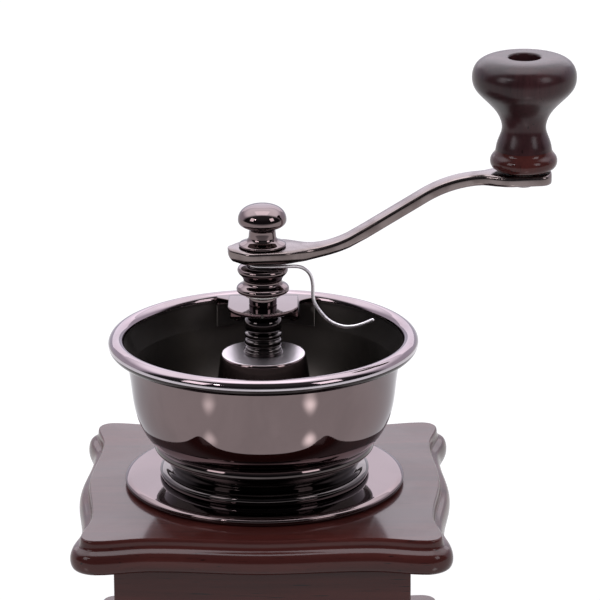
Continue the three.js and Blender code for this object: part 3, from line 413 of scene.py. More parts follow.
def metal(name, light, dark, gloss, patches, lines=1100, depth=0.000004, edge=(1, 1, 1)):
    """Polished metal: colour and roughness vary with the patches, the wiping lines
    are a shallow bump. The edge tint is what it gives back at a glancing angle."""
    made, tree, shader, place = new_material(name, Metallic=1.0, Specular_Tint=(*edge, 1))
    marks = use_group(tree, smudges, place, patches)
    wiping = use_group(tree, fine_lines, place, lines)["Lines"]
    feed(
        tree,
        shader,
        Base_Color=mix_colours(tree, marks["Patches"], light, dark),
        Roughness=remap(tree, marks["Patches"], 0.0, 1.0, *gloss),
        Normal=bump(tree, wiping, 0.25, depth),
    )
    return made


gunmetal = metal(
    "black_nickel", (0.17, 0.13, 0.13), (0.15, 0.115, 0.115), (0.035, 0.075), 34, edge=glancing
)
dull_nickel = metal(
    "black_nickel_inside", (0.17, 0.158, 0.144), (0.13, 0.12, 0.11), (0.34, 0.44), 26, 700,
    0.000008, glancing,
)
# Painted highlight: the dome's flat top, much paler than the plating, with a satin gloss.
painted_highlight_satin_nickel = metal(
    "black_nickel_satin_painted_highlight", (0.56, 0.52, 0.54), (0.5, 0.46, 0.48), (0.34, 0.42), 40
)
# Painted highlight: a pale line on the rolled rim's outside.
painted_highlight_line_nickel = metal("black_nickel_painted_highlight_line", (0.5, 0.46, 0.49), (0.42, 0.38, 0.41), (0.08, 0.14), 40)
forged_nickel = metal(
    "black_nickel_forged", (0.2, 0.165, 0.16), (0.15, 0.12, 0.115), (0.15, 0.24), 90, 900,
    0.00001, glancing,
)
# Painted shadow: nearly black plating under the rolled rim.
painted_shadow_nickel = metal(
    "black_nickel_painted_shadow", (0.04, 0.034, 0.034), (0.025, 0.021, 0.021), (0.07, 0.12), 60
)
# Painted highlight: the rolled rim, paler than the rest of the bowl.
painted_highlight_rim_nickel = metal(
    "black_nickel_rim_painted_highlight", (0.27, 0.22, 0.235), (0.235, 0.19, 0.2), (0.05, 0.09), 34, edge=glancing
)
# Painted shade: darker plating for the bowl's neck and the bearing sleeve.
painted_shade_nickel = metal(
    "black_nickel_painted_shade", (0.085, 0.073, 0.072), (0.065, 0.056, 0.055), (0.06, 0.1), 60
)
# A bare wire, paler than turned steel: the extra paleness is a painted highlight.
painted_highlight_wire = metal("painted_highlight_wire", (0.78, 0.75, 0.76), (0.68, 0.65, 0.66), (0.34, 0.42), 40)
steel = metal(
    "turned_steel", (0.56, 0.55, 0.53), (0.44, 0.43, 0.41), (0.2, 0.34), 60, 1500, 0.00003
)
print("metals", [made.name for made in bpy.data.materials if made.name.startswith("black")])

# %% [markdown]
# Burrs are cast and hardened, and stay dry and dull with a fine sandy surface.

# %% Iron
iron, tree, shader, place = new_material("cast_iron", Metallic=0.85)
marks = use_group(tree, smudges, place, 120)
iron_light, iron_dark = (0.13, 0.125, 0.12), (0.08, 0.074, 0.07)
feed(
    tree,
    shader,
    Base_Color=mix_colours(tree, marks["Patches"], iron_light, iron_dark),
    Roughness=remap(tree, marks["Specks"], 0.0, 1.0, 0.5, 0.75),
    Normal=bump(tree, noise(tree, place, 1800, 4.0, 0.6), 0.4, 0.00012),
)
print("iron", iron.name)

# %% [markdown]
# ## Lacquered mahogany and plain beech
# The box and the knob are stained nearly black-brown and lacquered. Stain sinks
# deeper into the softer streaks, so the streaks show as a slightly lighter red.
# The lacquer is a clear coat: it carries the sharp reflections, while the wood
# under it stays duller. The pores pull the lacquer down into fine hair lines.
# The grain runs along the piece, so each finish turns its coordinates that way.
# The knob's wood is darker and its lacquer duller, from the palm that turns it.

# %% Woods
def wood(name, dark, light, pore, turn, rough, coat, pore_depth, coat_rough=0.1):
    """Wood with its grain along the direction that the turn brings to X."""
    made, tree, shader, place = new_material(
        name, Coat_Weight=coat, Coat_Roughness=coat_rough, Specular_IOR_Level=0.04
    )
    fibre = use_group(tree, grain, stretched(tree, place, even, turn), 1.0)
    marks = use_group(tree, smudges, place, 30)
    toned = mix_colours(tree, fibre["Figure"], dark, light)
    streaked = mix_colours(tree, calculate(tree, "MULTIPLY", fibre["Streaks"], 0.45), toned, dark)
    feed(
        tree,
        shader,
        Base_Color=mix_colours(tree, fibre["Pores"], streaked, pore),
        Roughness=remap(tree, marks["Patches"], 0.0, 1.0, *rough),
        Normal=bump(tree, calculate(tree, "SUBTRACT", 1.0, fibre["Pores"]), 0.5, pore_depth),
    )
    return made


mahogany = {"dark": (0.046, 0.0115, 0.0098), "light": (0.092, 0.0215, 0.0172)}
mahogany |= {"pore": (0.014, 0.0045, 0.004), "rough": (0.34, 0.42), "coat": 0.5}
mahogany |= {"pore_depth": 0.00001}
handled = {"dark": (0.02, 0.0072, 0.0082), "light": (0.056, 0.0195, 0.0212)}
handled |= {"coat": 0.46, "coat_rough": 0.24}
upright_grain = (0, math.pi / 2, 0)
wood_along_x = wood("mahogany_along_x", turn=unturned, **mahogany)
wood_along_y = wood("mahogany_along_y", turn=(0, 0, math.pi / 2), **mahogany)
wood_upright = wood("mahogany_upright", turn=upright_grain, **mahogany)
knob_wood = wood("mahogany_handled", turn=upright_grain, **(mahogany | handled))
beech = wood(
    "beech", (0.42, 0.26, 0.13), (0.6, 0.41, 0.24), (0.3, 0.17, 0.08),
    unturned, (0.5, 0.6), 0.05, 0.00004,
)
print("woods", wood_along_x.name, knob_wood.name, beech.name)

# %% [markdown]
# Pressed felt is a mat of short fibres: its colour is mottled at the size of a
# fibre, its surface is soft and rough, and its edge catches light as a sheen.

# %% Felt
felt, tree, shader, place = new_material(
    "pressed_felt", Roughness=0.95, Sheen_Weight=0.5, Sheen_Roughness=0.4
)
fibres = noise(tree, place, 1600, 4.0, 0.7, 1.5)
mottled = mix_colours(
    tree, remap(tree, fibres, 0.3, 0.7), (0.018, 0.016, 0.014), (0.07, 0.062, 0.054)
)
feed(tree, shader, Base_Color=mottled, Normal=bump(tree, fibres, 0.8, 0.0004))
print("felt", felt.name)

# %% [markdown]
# ## The moulded boards
# The top and base boards are cut to a square with scalloped sides and round
# corners, then a moulding cutter is run round the edge: a flat tier on top, a small
# step and a full bead below. So one outline seen from above, with its outward
# direction, and one moulding, with its inset and its depth, give the whole edge.
# The felt sole is cut to the same outline, a little smaller.

# %% Boards
board_width, board_thickness, corner_radius = 145.0, 13.0, 10.0
waist_depth, waist_place, bead_reach = 3.0, 0.57, 4.0
base_low, board_low = 1.8, 77.0
sole_inset, sole_thickness = 5.0, 1.5
bore_radius, middle_radius = 21.8, 4.0


def board_outline(side_steps=72, corner_steps=14):
    """Half the width less w(x) times the waist's depth, where w rises as a squared
    sine from the middle to the waist and falls as a squared cosine to the corner;
    then a quarter circle. Four turned copies close the outline."""
    half = board_width / 2
    end, waist = half - corner_radius, waist_place * half
    x = np.linspace(-end, end, side_steps, endpoint=False)
    rise = np.sin(np.pi / 2 * np.abs(x) / waist) ** 2
    fall = np.cos(np.pi / 2 * (np.abs(x) - waist) / (end - waist)) ** 2
    y = waist_depth * np.where(np.abs(x) < waist, rise, fall) - half
    angle = np.linspace(-np.pi / 2, 0, corner_steps, endpoint=False)
    corner = around(corner_radius, angle, 0, (end, -end))[:, :2]
    edge = np.vstack([np.column_stack([x, y]), corner])
    turns = [np.array([[c, s], [-s, c]]) for c, s in ((1, 0), (0, 1), (-1, 0), (0, -1))]
    return np.vstack([edge @ turn for turn in turns])


def outward(outline):
    """Unit vectors across the line from each point's neighbour to the next."""
    along = np.roll(outline, -1, axis=0) - np.roll(outline, 1, axis=0)
    return unit(np.column_stack([along[:, 1], -along[:, 0]]))


outline = board_outline()
outline_out = outward(outline)


def edge_rings(insets, levels):
    """The outline moved in by each inset and set at each level."""
    grid = np.empty((len(insets), len(outline), 3))
    grid[..., :2] = outline - np.asarray(insets)[:, None, None] * outline_out
    grid[..., 2] = np.asarray(levels)[:, None]
    return grid


def spread_to_circle(ring, radius, steps=6):
    """Rings from an outline in to a circle: (1-t) outline + t circle."""
    angle = np.arctan2(ring[:, 1], ring[:, 0])
    t = np.linspace(0, 1, steps + 1)[1:, None, None]
    return (1 - t) * ring + t * around(radius, angle, ring[:, 2])


def sheet(insets, levels, radius, bored=False):
    """The underside from a circle out, the edge, and the top in to the circle,
    which is either a bore or closed by a cap on each side."""
    rings = edge_rings(insets, levels)
    bottom = spread_to_circle(rings[0], radius)[::-1]
    top = spread_to_circle(rings[-1], radius)
    return shell(np.concatenate([bottom, rings, top]), bored)


# Inset and depth shares of the bead, the step and the flat tier, from the underside up
bead = flowing([[0.6, 1], [0.12, 0.88], [0, 0.66], [0.18, 0.44], [0.5, 0.345]], 7)
tier = eased([[0.5, 0.345], [0.93, 0.285], [1, 0.04], [1.14, 0]], 0.12, 5)
moulding = np.maximum(np.vstack([bead, tier[1:]]), 0) * [bead_reach, board_thickness]
inset, height = moulding[:, 0], board_thickness - moulding[:, 1]

top_board = sheet(inset, board_low + height, bore_radius, True)
piece("top_board", "dark_wood", wood_along_x, top_board)
piece("base_board", "dark_wood", wood_along_x, sheet(inset, base_low + height, middle_radius))
sole_insets = sole_inset - np.array([0, 0.1, 0.1, 0])
sole = sheet(sole_insets, [0, 0.15, sole_thickness - 0.15, sole_thickness], middle_radius)
piece("felt_sole", "felt", felt, sole)

# %% [markdown]
# ## The box between the boards
# Walls, rail and drawer are plain boards with their edges broken by sandpaper. A
# board is a rounded rectangle carried along Y: its width and height may change on
# the way, which cuts the notch for the rail into the walls and raises the field on
# the drawer's front. Near each end it shrinks round a quarter circle.

# %% Walls and rail
def rounded_section(half_wide, half_high, radius, steps=4):
    """Rings round the middle of a rectangle with quarter-circle corners, one for
    each pair of half sizes, anticlockwise from the right: a corner's middle plus
    radius (cos, sin)."""
    turn = np.repeat(np.arange(4) * np.pi / 2, steps + 1)
    angle = np.tile(np.linspace(0, np.pi / 2, steps + 1), 4) + turn
    right_left = np.sign(np.cos(turn + np.pi / 4))
    up_down = np.sign(np.sin(turn + np.pi / 4))
    wide, high = (np.reshape(half_size, (-1, 1)) for half_size in (half_wide, half_high))
    radius = np.minimum(radius, np.minimum(wide, high))
    across = right_left * (wide - radius) + radius * np.cos(angle)
    return np.stack([across, up_down * (high - radius) + radius * np.sin(angle)], axis=-1)


def long_board(stations, radius=0.5):
    """A rounded rectangle carried along Y; a station is (y, inset, x, x, z, z)."""
    y, inset, x_low, x_high, z_low, z_high = np.transpose(stations)
    half_wide, half_high = (x_high - x_low) / 2 - inset, (z_high - z_low) / 2 - inset
    ring = rounded_section(half_wide, half_high, radius)[:, ::-1]
    grid = np.empty((*ring.shape[:2], 3))
    grid[..., 0] = ring[..., 0] + (x_low + x_high)[:, None] / 2
    grid[..., 1] = y[:, None]
    grid[..., 2] = ring[..., 1] + (z_low + z_high)[:, None] / 2
    return shell(grid)


def plain_board(x_low, x_high, y_low, y_high, z_low, z_high, radius=0.5):
    """The same rectangle all along, shrinking round a quarter circle at each end."""
    angle = np.linspace(0, np.pi / 2, 5)
    inset, step = radius * (1 - np.sin(angle)), radius * (1 - np.cos(angle))
    faces = (x_low, x_high, z_low, z_high)
    near = [(y_low + s, i, *faces) for s, i in zip(step, inset)]
    far = [(y_high - s, i, *faces) for s, i in zip(step[::-1], inset[::-1])]
    return long_board(near + far, radius)


half, inner, seat = 56.5, 47.5, 0.3
body_low, body_high, rail_low = 15.1, 76.7, 56.7


def side_wall(x_low, x_high):
    """A wall, lower in front, where the rail lies over it. Its ends are rounded by
    0.5 mm in two steps of (distance from the end, inset)."""
    low = (x_low, x_high, body_low, rail_low - seat)
    tall = (x_low, x_high, body_low, body_high)
    rounding = [(0, 0.5), (0.15, 0.15), (0.5, 0)]
    front = [(d - half, i, *low) for d, i in rounding] + [(seat - inner, 0, *low)]
    back = [(half - d, i, *tall) for d, i in rounding[::-1]]
    return long_board(front + [(seat - inner, 0, *tall)] + back)


piece("left_wall", "dark_wood", wood_along_y, side_wall(-half, -inner))
piece("right_wall", "dark_wood", wood_along_y, side_wall(inner, half))
back_edge = inner - seat
back_wall = plain_board(-back_edge, back_edge, inner, half, body_low, body_high)
piece("back_wall", "dark_wood", wood_along_x, back_wall)
rail = plain_board(-half, half, -half, -inner, rail_low, body_high)
piece("front_rail", "dark_wood", wood_along_x, rail)

# %% [markdown]
# The drawer is a box of plain beech behind a lacquered front. The front's raised
# field is cut with a bevel: its stations step out from the field to the border.

# %% Drawer
drawer_half, drawer_low, drawer_high = 46.9, 15.4, 56.1
side_high, drawer_back, side_wood, panel_wood = drawer_low + 34, 44.5, 5.0, 3.0
side_inner = drawer_half - side_wood
front_faces = (-drawer_half, drawer_half, drawer_low, drawer_high)
field = [(0, 6.5), (0.12, 6.15), (1.08, 5.15), (1.2, 4.85)]
border = [(1.2, 0.4), (1.32, 0.1), (1.6, 0)]
front_stations = [(depth - half, inset, *front_faces) for depth, inset in field + border]
front_stations += [(-inner - 0.3, 0, *front_faces), (-inner, 0.3, *front_faces)]
piece("drawer_front", "dark_wood", wood_along_x, long_board(front_stations, 0.4))

sides = {"left": (-drawer_half, -side_inner), "right": (side_inner, drawer_half)}
for side, width in sides.items():
    board = plain_board(*width, seat - inner, drawer_back, drawer_low, side_high)
    piece(f"drawer_side_{side}", "pale_wood", beech, board)
panel = side_inner - seat
back = plain_board(-panel, panel, drawer_back - side_wood, drawer_back, drawer_low, side_high)
piece("drawer_back", "pale_wood", beech, back)
bottom_low, bottom_end = drawer_low + 1.5, drawer_back - side_wood - seat
bottom = plain_board(
    -panel, panel, seat - inner, bottom_end, bottom_low, bottom_low + panel_wood, 0.3
)
piece("drawer_bottom", "pale_wood", beech, bottom)

# %% [markdown]
# ## The hopper
# The bowl is spun from sheet over a form: its rim is rolled round a wire into a
# bead, its wall flares in a long curve, and near the foot it steps in to a ring and
# a narrow neck that spreads again onto the foot plate. The profile runs out along
# the underside, up the outside, over the bead and back down the inside.

# %% Bowl
neck, flare, bowl_low, bowl_high, rim_bead = 36.8, 20.2, 93.8, 53.2, 3.1
bowl_turns = 256


def bowl_shares(*shares):
    """Shares of the way from neck to rim and from foot to rim, in millimetres."""
    return scaled(shares, flare, bowl_high, bowl_low, neck)


foot_roll = bowl_shares(
    [0.18, 0], [0.2, 0.018], [0.19, 0.044], [0.13, 0.06], [0.05, 0.063], [0, 0.072]
)
neck_curve = bowl_shares([0, 0.072], [0.03, 0.098], [0.075, 0.14], [0.125, 0.18])
ring_bead = bowl_shares([0.125, 0.18], [0.25, 0.19], [0.305, 0.215], [0.3, 0.241], [0.281, 0.256])
wall = bowl_shares(
    [0.281, 0.256], [0.436, 0.318], [0.594, 0.425], [0.69, 0.568], [0.735, 0.71],
    [0.789, 0.834], [0.864, 0.935],
)
inside = flowing(bowl_shares(
    [0.701, 0.834], [0.65, 0.71], [0.602, 0.568], [0.506, 0.425], [0.351, 0.325],
    [0.153, 0.24], [0, 0.15], [-0.129, 0.062],
))
foot_roll, ring_bead = eased(foot_roll, 0.9, 6), eased(ring_bead, 1.6, 6)
neck_line = np.vstack([foot_roll, flowing(neck_curve)[1:], ring_bead[1:]])
outside = np.vstack([neck_line, flowing(wall)[1:]])

# The rolled rim: centre + radius (cos, sin)
rim_angle = np.radians(np.linspace(-84, 192, 40))
rim = around(rim_bead, rim_angle, 0, (neck + flare, bowl_low + bowl_high))[:, :2]
floor_high, floor_bore = 95.3, 19.6
floor = [[neck - 4.1, floor_high], [floor_bore, floor_high], [floor_bore, bowl_low]]
floor = eased([inside[-1], *floor, outside[0]], 0.6)
bowl_profile = np.vstack([outside, rim, inside, floor[1:-1]])
bowl = piece("hopper_bowl", "gunmetal", gunmetal, turned(bowl_profile, bowl_turns))

# %% [markdown]
# The inside is plated but not buffed. Under the rolled rim the plating is nearly
# black, a painted shadow, and at the neck it is darker, a painted shade. The roll is
# paler, a painted highlight, its outermost line most. A band of the profile's rows
# takes each finish.

# %% Bowl's finishes and foot plate
# Rows from the roll's foot to the end of its painted shadow, of its painted highlight
# line and of the roll's own paler finish, and rows of the bowl's floor
shadow_rows, highlight_line_rows, roll_rows, floor_rows = 11, 14, 36, 8
rim_row, inside_row = len(outside), len(outside) + roll_rows
finish_rows(
    bowl,
    bowl_turns,
    (0, len(neck_line) - 2, painted_shade_nickel),
    (rim_row - 2, rim_row + shadow_rows, painted_shadow_nickel),
    (rim_row + shadow_rows, rim_row + highlight_line_rows, painted_highlight_line_nickel),
    (rim_row + highlight_line_rows, inside_row, painted_highlight_rim_nickel),
    (inside_row, inside_row + len(inside) + floor_rows, dull_nickel),
)

foot_radius, foot_thickness, foot_low = 54.4, 3.2, 90.3
foot_shares = [
    [0.45, 0.53], [0.945, 0.53], [0.955, 0], [0.985, 0], [1, 0.3], [1, 0.72], [0.97, 0.985],
    [0.9, 1], [0.45, 1],
]
foot_edge = eased(scaled(foot_shares, foot_radius, foot_thickness, foot_low), 0.8, 6, True)
piece("hopper_foot", "gunmetal", gunmetal, turned(foot_edge, bowl_turns))

# %% [markdown]
# ## The dome over the burrs
# A spun dome stands on the bowl's floor and carries the shaft's bearing. Four
# arched windows in its wall let the beans fall in. The wall between two windows is
# a pier: at each height it starts and ends half a window's width away from the
# window's middle, an angle of asin(half width / radius). So the piers are grids of
# their own, between a plain ring above the arches and the flange below. The
# dome's flat top has a satin gloss and a much paler colour: a painted highlight.

# %% Dome
dome_base, dome_low, dome_high, dome_sheet, dome_flange = 21.9, 95.6, 46.7, 1.5, 31.5
dome_narrowing, dome_turns, spigot_hole, flat_rows = 5.6, 192, 6.0, 8
window_half, window_low, window_top = 6.0, 98.6, 112.6
dome_shares = [
    [0, 0.03], [0.34, 0.4], [0.66, 0.74], [0.84, 0.9], [0.93, 0.965], [1.01, 0.992],
    [1.14, 0.9995], [1.9, 1.0],
]
dome_line = flowing(scaled(dome_shares, -dome_narrowing, dome_high, dome_low, dome_base), 12)
dome_top = dome_low + dome_high


def dome_radius(level):
    """The outside's radius at a level."""
    return np.interp(level, dome_line[:, 1], dome_line[:, 0])


def pier(turn, rows=28, across=24):
    """Around the pier at each level: its outside, and its inside on the way back."""
    level = np.linspace(window_low, window_top, rows)
    above = np.maximum(level - (window_top - window_half), 0)
    wide = np.sqrt(np.maximum(window_half**2 - above**2, 0))
    radius = dome_radius(level)[:, None]
    edge = np.arcsin(wide / radius[:, 0])[:, None]
    share = np.linspace(0, 1, across)[None]
    angle = edge + share * (np.pi / 2 - 2 * edge) + turn * np.pi / 2
    angle = np.hstack([angle, angle[:, ::-1]])
    reach = np.repeat(np.hstack([radius, radius - dome_sheet]), across, 1)
    return shell(around(reach, angle, level[:, None]), strip=True)


# The crown: up the outside from the arches, across the top and down the inside
above = dome_line[(dome_line[:, 1] > window_top + 0.1) & (dome_line[:, 1] < dome_top - 0.02)]
crown_out = np.vstack([[dome_radius(window_top), window_top], above])
crown_in = crown_out - [dome_sheet, 0]
crown_in[:, 1] = np.minimum(crown_in[:, 1], dome_top - dome_sheet)
crown_bore = [[spigot_hole, dome_top], [spigot_hole, dome_top - dome_sheet]]
crown = np.vstack([crown_out, crown_bore, crown_in[::-1]])
foot_of_piers, flange_top = dome_radius(window_low), dome_low + dome_sheet
flange = [
    [dome_base - dome_sheet, dome_low], [dome_flange, dome_low], [dome_flange, flange_top],
    [dome_base + 0.9, flange_top], [foot_of_piers, window_low],
    [foot_of_piers - dome_sheet, window_low],
]
dome_rings = [turned(ring, dome_turns) for ring in (crown, eased(flange, 0.5, 5, True))]
dome = piece("bearing_dome", "gunmetal", gunmetal, *dome_rings, *(pier(turn) for turn in range(4)))
top_row = len(crown_out)
# The flat top's pale satin is a painted highlight.
finish_rows(dome, dome_turns, (top_row - flat_rows, top_row + 1, painted_highlight_satin_nickel))

# %% [markdown]
# ## Pieces turned on the shaft's axis
# Sleeve, bush, washers, adjusting nut and cap nut are small lathe work: ribs and
# coves between square shoulders. Each profile is a list of radius and height
# shares, with the corners eased where a rib has edges and flowing where it swells.

# %% Bearings and nuts
shaft_bore = 4.35
sleeve_radius, sleeve_long, sleeve_low = 7.15, 17.6, 142.6
sleeve_ribs = [
    [1.063, 0], [1.063, 0.07], [1, 0.072], [1, 0.13], [0.88, 0.165], [1, 0.2], [1, 0.3],
    [0.88, 0.34], [1, 0.38], [1, 0.46], [0.86, 0.495],
]
sleeve_swell = [
    [0.86, 0.495], [0.93, 0.53], [0.98, 0.56], [1.02, 0.66], [0.98, 0.77], [0.92, 0.81],
    [0.86, 0.84],
]
sleeve_end = [[6.15, 157.4], [5.4, 157.45], [5.4, 160.2], [shaft_bore, 160.2]]
sleeve = np.vstack([
    [[shaft_bore, 141.1], [5.7, 141.1], [5.7, sleeve_low]],
    eased(scaled(sleeve_ribs, sleeve_radius, sleeve_long, sleeve_low), 0.45, 6),
    flowing(scaled(sleeve_swell, sleeve_radius, sleeve_long, sleeve_low))[1:],
    eased(sleeve_end, 0.4, 5)[1:],
])
# The sleeve's darker plating is painted shade.
piece("bearing_sleeve", "gunmetal", painted_shade_nickel, turned(sleeve, turns=128))

bush = [
    [shaft_bore, 160.5], [4.95, 160.5], [4.95, 162.5], [5.4, 162.5], [5.4, 165.4],
    [shaft_bore, 165.4],
]
piece("top_bush", "gunmetal", gunmetal, turned(eased(bush, 0.4, 5, True)))


def flat_washer(bore, radius, low, high, at=(0, 0)):
    """A flat ring with its edges eased."""
    corners = [[bore, low], [radius, low], [radius, high], [bore, high]]
    return turned(eased(corners, 0.25, 4, True), at=at)


piece("thrust_washer", "steel", steel, flat_washer(shaft_bore, 7.0, 165.7, 166.7))
piece("spring_washer", "steel", steel, flat_washer(shaft_bore, 9.0, 139.5, 140.5))

nut_radius, nut_low, nut_high = 10.2, 167.0, 177.8
nut_shares = [
    [0.72, -0.001], [0.86, 0.004], [0.965, 0.05], [1, 0.15], [0.94, 0.25], [0.78, 0.35],
    [0.735, 0.46], [0.79, 0.6], [0.92, 0.74], [0.96, 0.84], [0.9, 0.95], [0.7, 1],
]
nut_side = flowing(scaled(nut_shares, nut_radius, nut_high - nut_low, nut_low), 9)
nut_side[:, 1] = np.clip(nut_side[:, 1], nut_low, nut_high)
nut = np.vstack([[[shaft_bore, nut_low]], nut_side, [[shaft_bore, nut_high]]])
piece("adjusting_nut", "gunmetal", gunmetal, turned(nut, turns=160))

cap_radius, cap_long, cap_low = 9.4, 16.2, 185.8
cap_foot = [[0.62, 0], [0.96, 0], [0.98, 0.03], [0.94, 0.06], [0.66, 0.125], [0.57, 0.2]]
cap_head = [
    [0.57, 0.2], [0.555, 0.3], [0.575, 0.41], [0.82, 0.485], [0.975, 0.57], [1, 0.65],
    [0.95, 0.775], [0.76, 0.905], [0.42, 0.985], [0.001, 1.0],
]
cap_foot_line = eased(scaled(cap_foot, cap_radius, cap_long, cap_low), 0.7, 6)
cap_head_line = flowing(scaled(cap_head, cap_radius, cap_long, cap_low), 9)
cap = np.vstack([cap_foot_line, cap_head_line[1:]])
piece("cap_nut", "gunmetal", gunmetal, turned(cap, turns=160))

# %% [markdown]
# ## Hopper screws
# Four pan-head screws hold the dome and the hopper on the box. The head is a
# shallow dome, pressed with a cross: the height drops where |x| or |y| is under
# half a slot's width, softened so that the edges catch light.

# %% Screws
screw_circle, head_radius, head_low, head_high = 27.2, 3.4, 97.4, 2.1
shank_radius, shank_low = 2.0, 70.9
slot_half, slot_reach, slot_depth, side_soft, end_soft = 0.45, 2.0, 1.0, 0.15, 0.3


def pan_head(x, y, turn, rings=26, turns=72):
    """z = low + high (1 - (r / radius)^4)^(1/2), less the cross recess; below it
    the shank, up from its end and out under the head."""
    radius = np.sin(np.linspace(0.02, np.pi / 2, rings))[::-1, None] * head_radius
    angle = np.linspace(0, 2 * np.pi, turns, endpoint=False)[None]
    px, py = np.abs(radius * np.cos(angle)), np.abs(radius * np.sin(angle))
    across, along = np.minimum(px, py), np.maximum(px, py)
    sunk = np.clip((slot_half - across) / side_soft, 0, 1)
    sunk = sunk * np.clip((slot_reach - along) / end_soft, 0, 1)
    level = head_low + head_high * np.sqrt(np.maximum(1 - (radius / head_radius) ** 4, 0))
    level = level - slot_depth * sunk
    below = [[shank_radius, shank_low], [shank_radius, head_low], [head_radius, head_low]]
    below_radius, below_level = np.array(below).T[:, :, None]
    reach = np.vstack([below_radius, radius[1:]])
    height = np.vstack([below_level + 0 * angle, level[1:]])
    return shell(around(reach, angle + turn, height, (x, y)))


screw_side = screw_circle * math.sqrt(0.5)
screws = [(1, 1, 0.4), (-1, 1, 1.1), (-1, -1, 0.1), (1, -1, 0.8)]
for number, (side_x, side_y, turn) in enumerate(screws, 1):
    screw = pan_head(side_x * screw_side, side_y * screw_side, turn)
    piece(f"hopper_screw_{number}", "steel", steel, screw)

# %% [markdown]
# ## The bracket
# The upper bearing sits in a strip of plate: a round end under the nut, a ramp down
# to the rim, and a widening tail that bends over inside the wall, where two rivets
# hold it. The strip's middle line runs through stations of distance, level and half
# width; the plate is that line moved half its thickness up and down along its own
# normal, across a width that bends with the rim's circle towards the tail. Inside
# the bowl its plating is as dull as the bowl's own.

# %% Bracket
plate_thickness, disc_radius, strip_half, tail_half = 1.7, 13.9, 13.5, 19.5
disc_level, arm_level = 161.35, 149.25
tail_start, widening, tail_rows, dull_rows = 42, 9.0, 12, 6


def plate_rows(line, edge=0.35, across=44):
    """Rows of [x, y, z] round the plate: sin-spaced across, so that the edges, which
    drop round a quarter circle, get most of the points."""
    along = unit(np.gradient(line[:, :2], axis=0))
    share = np.sin(np.linspace(-np.pi / 2, np.pi / 2, across))
    half_width = line[:, 2:3]
    sides = []
    for sign, shares in ((1, share), (-1, share[::-1])):
        x = half_width * shares
        past = np.clip((np.abs(x) - half_width) / edge + 1, 0, 1)
        lift = sign * (plate_thickness / 2 - edge * (1 - np.sqrt(1 - past**2)))
        distance = line[:, :1] - lift * along[:, 1:2]
        curved = np.sqrt(np.maximum(distance**2 - x**2, 0))
        y = distance + line[:, 3:4] * (curved - distance)
        sides.append(np.stack([x, y, line[:, 1:2] + lift * along[:, :1]], axis=-1))
    return np.concatenate(sides, axis=1)


# Stations are distance, level, half width and the share of the rim's bend
round_angle = np.linspace(0.99 * np.pi, np.pi / 2 + 0.24, 14)
round_end = [
    [disc_radius * math.cos(a), disc_level, disc_radius * math.sin(a), 0] for a in round_angle
]
ramp = [[13.2, disc_level, strip_half, 0], [22, arm_level, strip_half, 0]]
ramp += [[30, arm_level, strip_half, 0.25]]
tail_y = np.linspace(tail_start, 51.8, tail_rows)
tail_width = smoothstep((tail_y - tail_start - 1) / widening)
tail_width = strip_half + (tail_half - strip_half) * tail_width
tail_bend = np.linspace(0.65, 1, tail_rows)
tail = np.column_stack([tail_y, 0 * tail_y + arm_level, tail_width, tail_bend])
lip = [[y, level, tail_half, 1] for y, level in ((53.0, arm_level), (52.85, 145.9), (49.8, 138.3))]
bend_line = eased([round_end[-1], *ramp, tail[0]], 2.8, 8)
tail_line = eased([*tail, *lip], 1.6, 6)
bracket_line = np.vstack([round_end[:-1], bend_line, tail_line[1:]])
bracket_grid = plate_rows(bracket_line)
bracket = piece("top_bracket", "gunmetal", gunmetal, shell(bracket_grid, strip=True))
rows, columns = bracket_grid.shape[:2]
finish_rows(bracket, columns, (rows - dull_rows, rows + 1, dull_nickel))

# Rivets stand square to the wall, which leans out by the angle below
wall_lean = math.atan2(0.3733, 0.9277)
rivet_place, rivet_level = 52.2, 141.25
rivet = [
    [0.001, -4.0], [1.5, -3.85], [2.4, -3.0], [2.4, -2.6], [1.5, -2.6], [1.5, 2.1], [2.4, 2.1],
    [2.4, 2.5], [1.5, 3.3], [0.001, 3.45],
]
for side, degrees in (("left", 103), ("right", 77)):
    points, faces = turned(eased(rivet, 0.5, 4), turns=48)
    tilt = np.array(Matrix.Rotation(math.pi / 2 + wall_lean, 3, "Y"))
    turn = np.array(Matrix.Rotation(math.radians(degrees), 3, "Z"))
    placed = (points @ tilt.T + [rivet_place, 0, rivet_level]) @ turn.T
    piece(f"bracket_rivet_{side}", "gunmetal", gunmetal, (placed, faces))

# %% [markdown]
# ## The crank
# The arm is one flat bar, forged wider at the hub and at the pad, and bent up in an
# easy S. Three lines over the distance from the shaft describe it: its half width,
# its level and its thickness. The section is a rectangle with rounded edges. The
# forging's underside is drawn in round the hub: it rises by a quarter circle over
# the last few millimetres, both towards the end and towards the sides.

# %% Crank arm
crank_turn = math.radians(7.3)
hub_level, pad_level, hub_tip, bar_half = 182.65, 209.35, 13.4, 4.0
hub_thickness, bar_thickness, arm_edge = 5.7, 4.5, 1.7
hub_draft, hub_reach = 3.4, 4.6

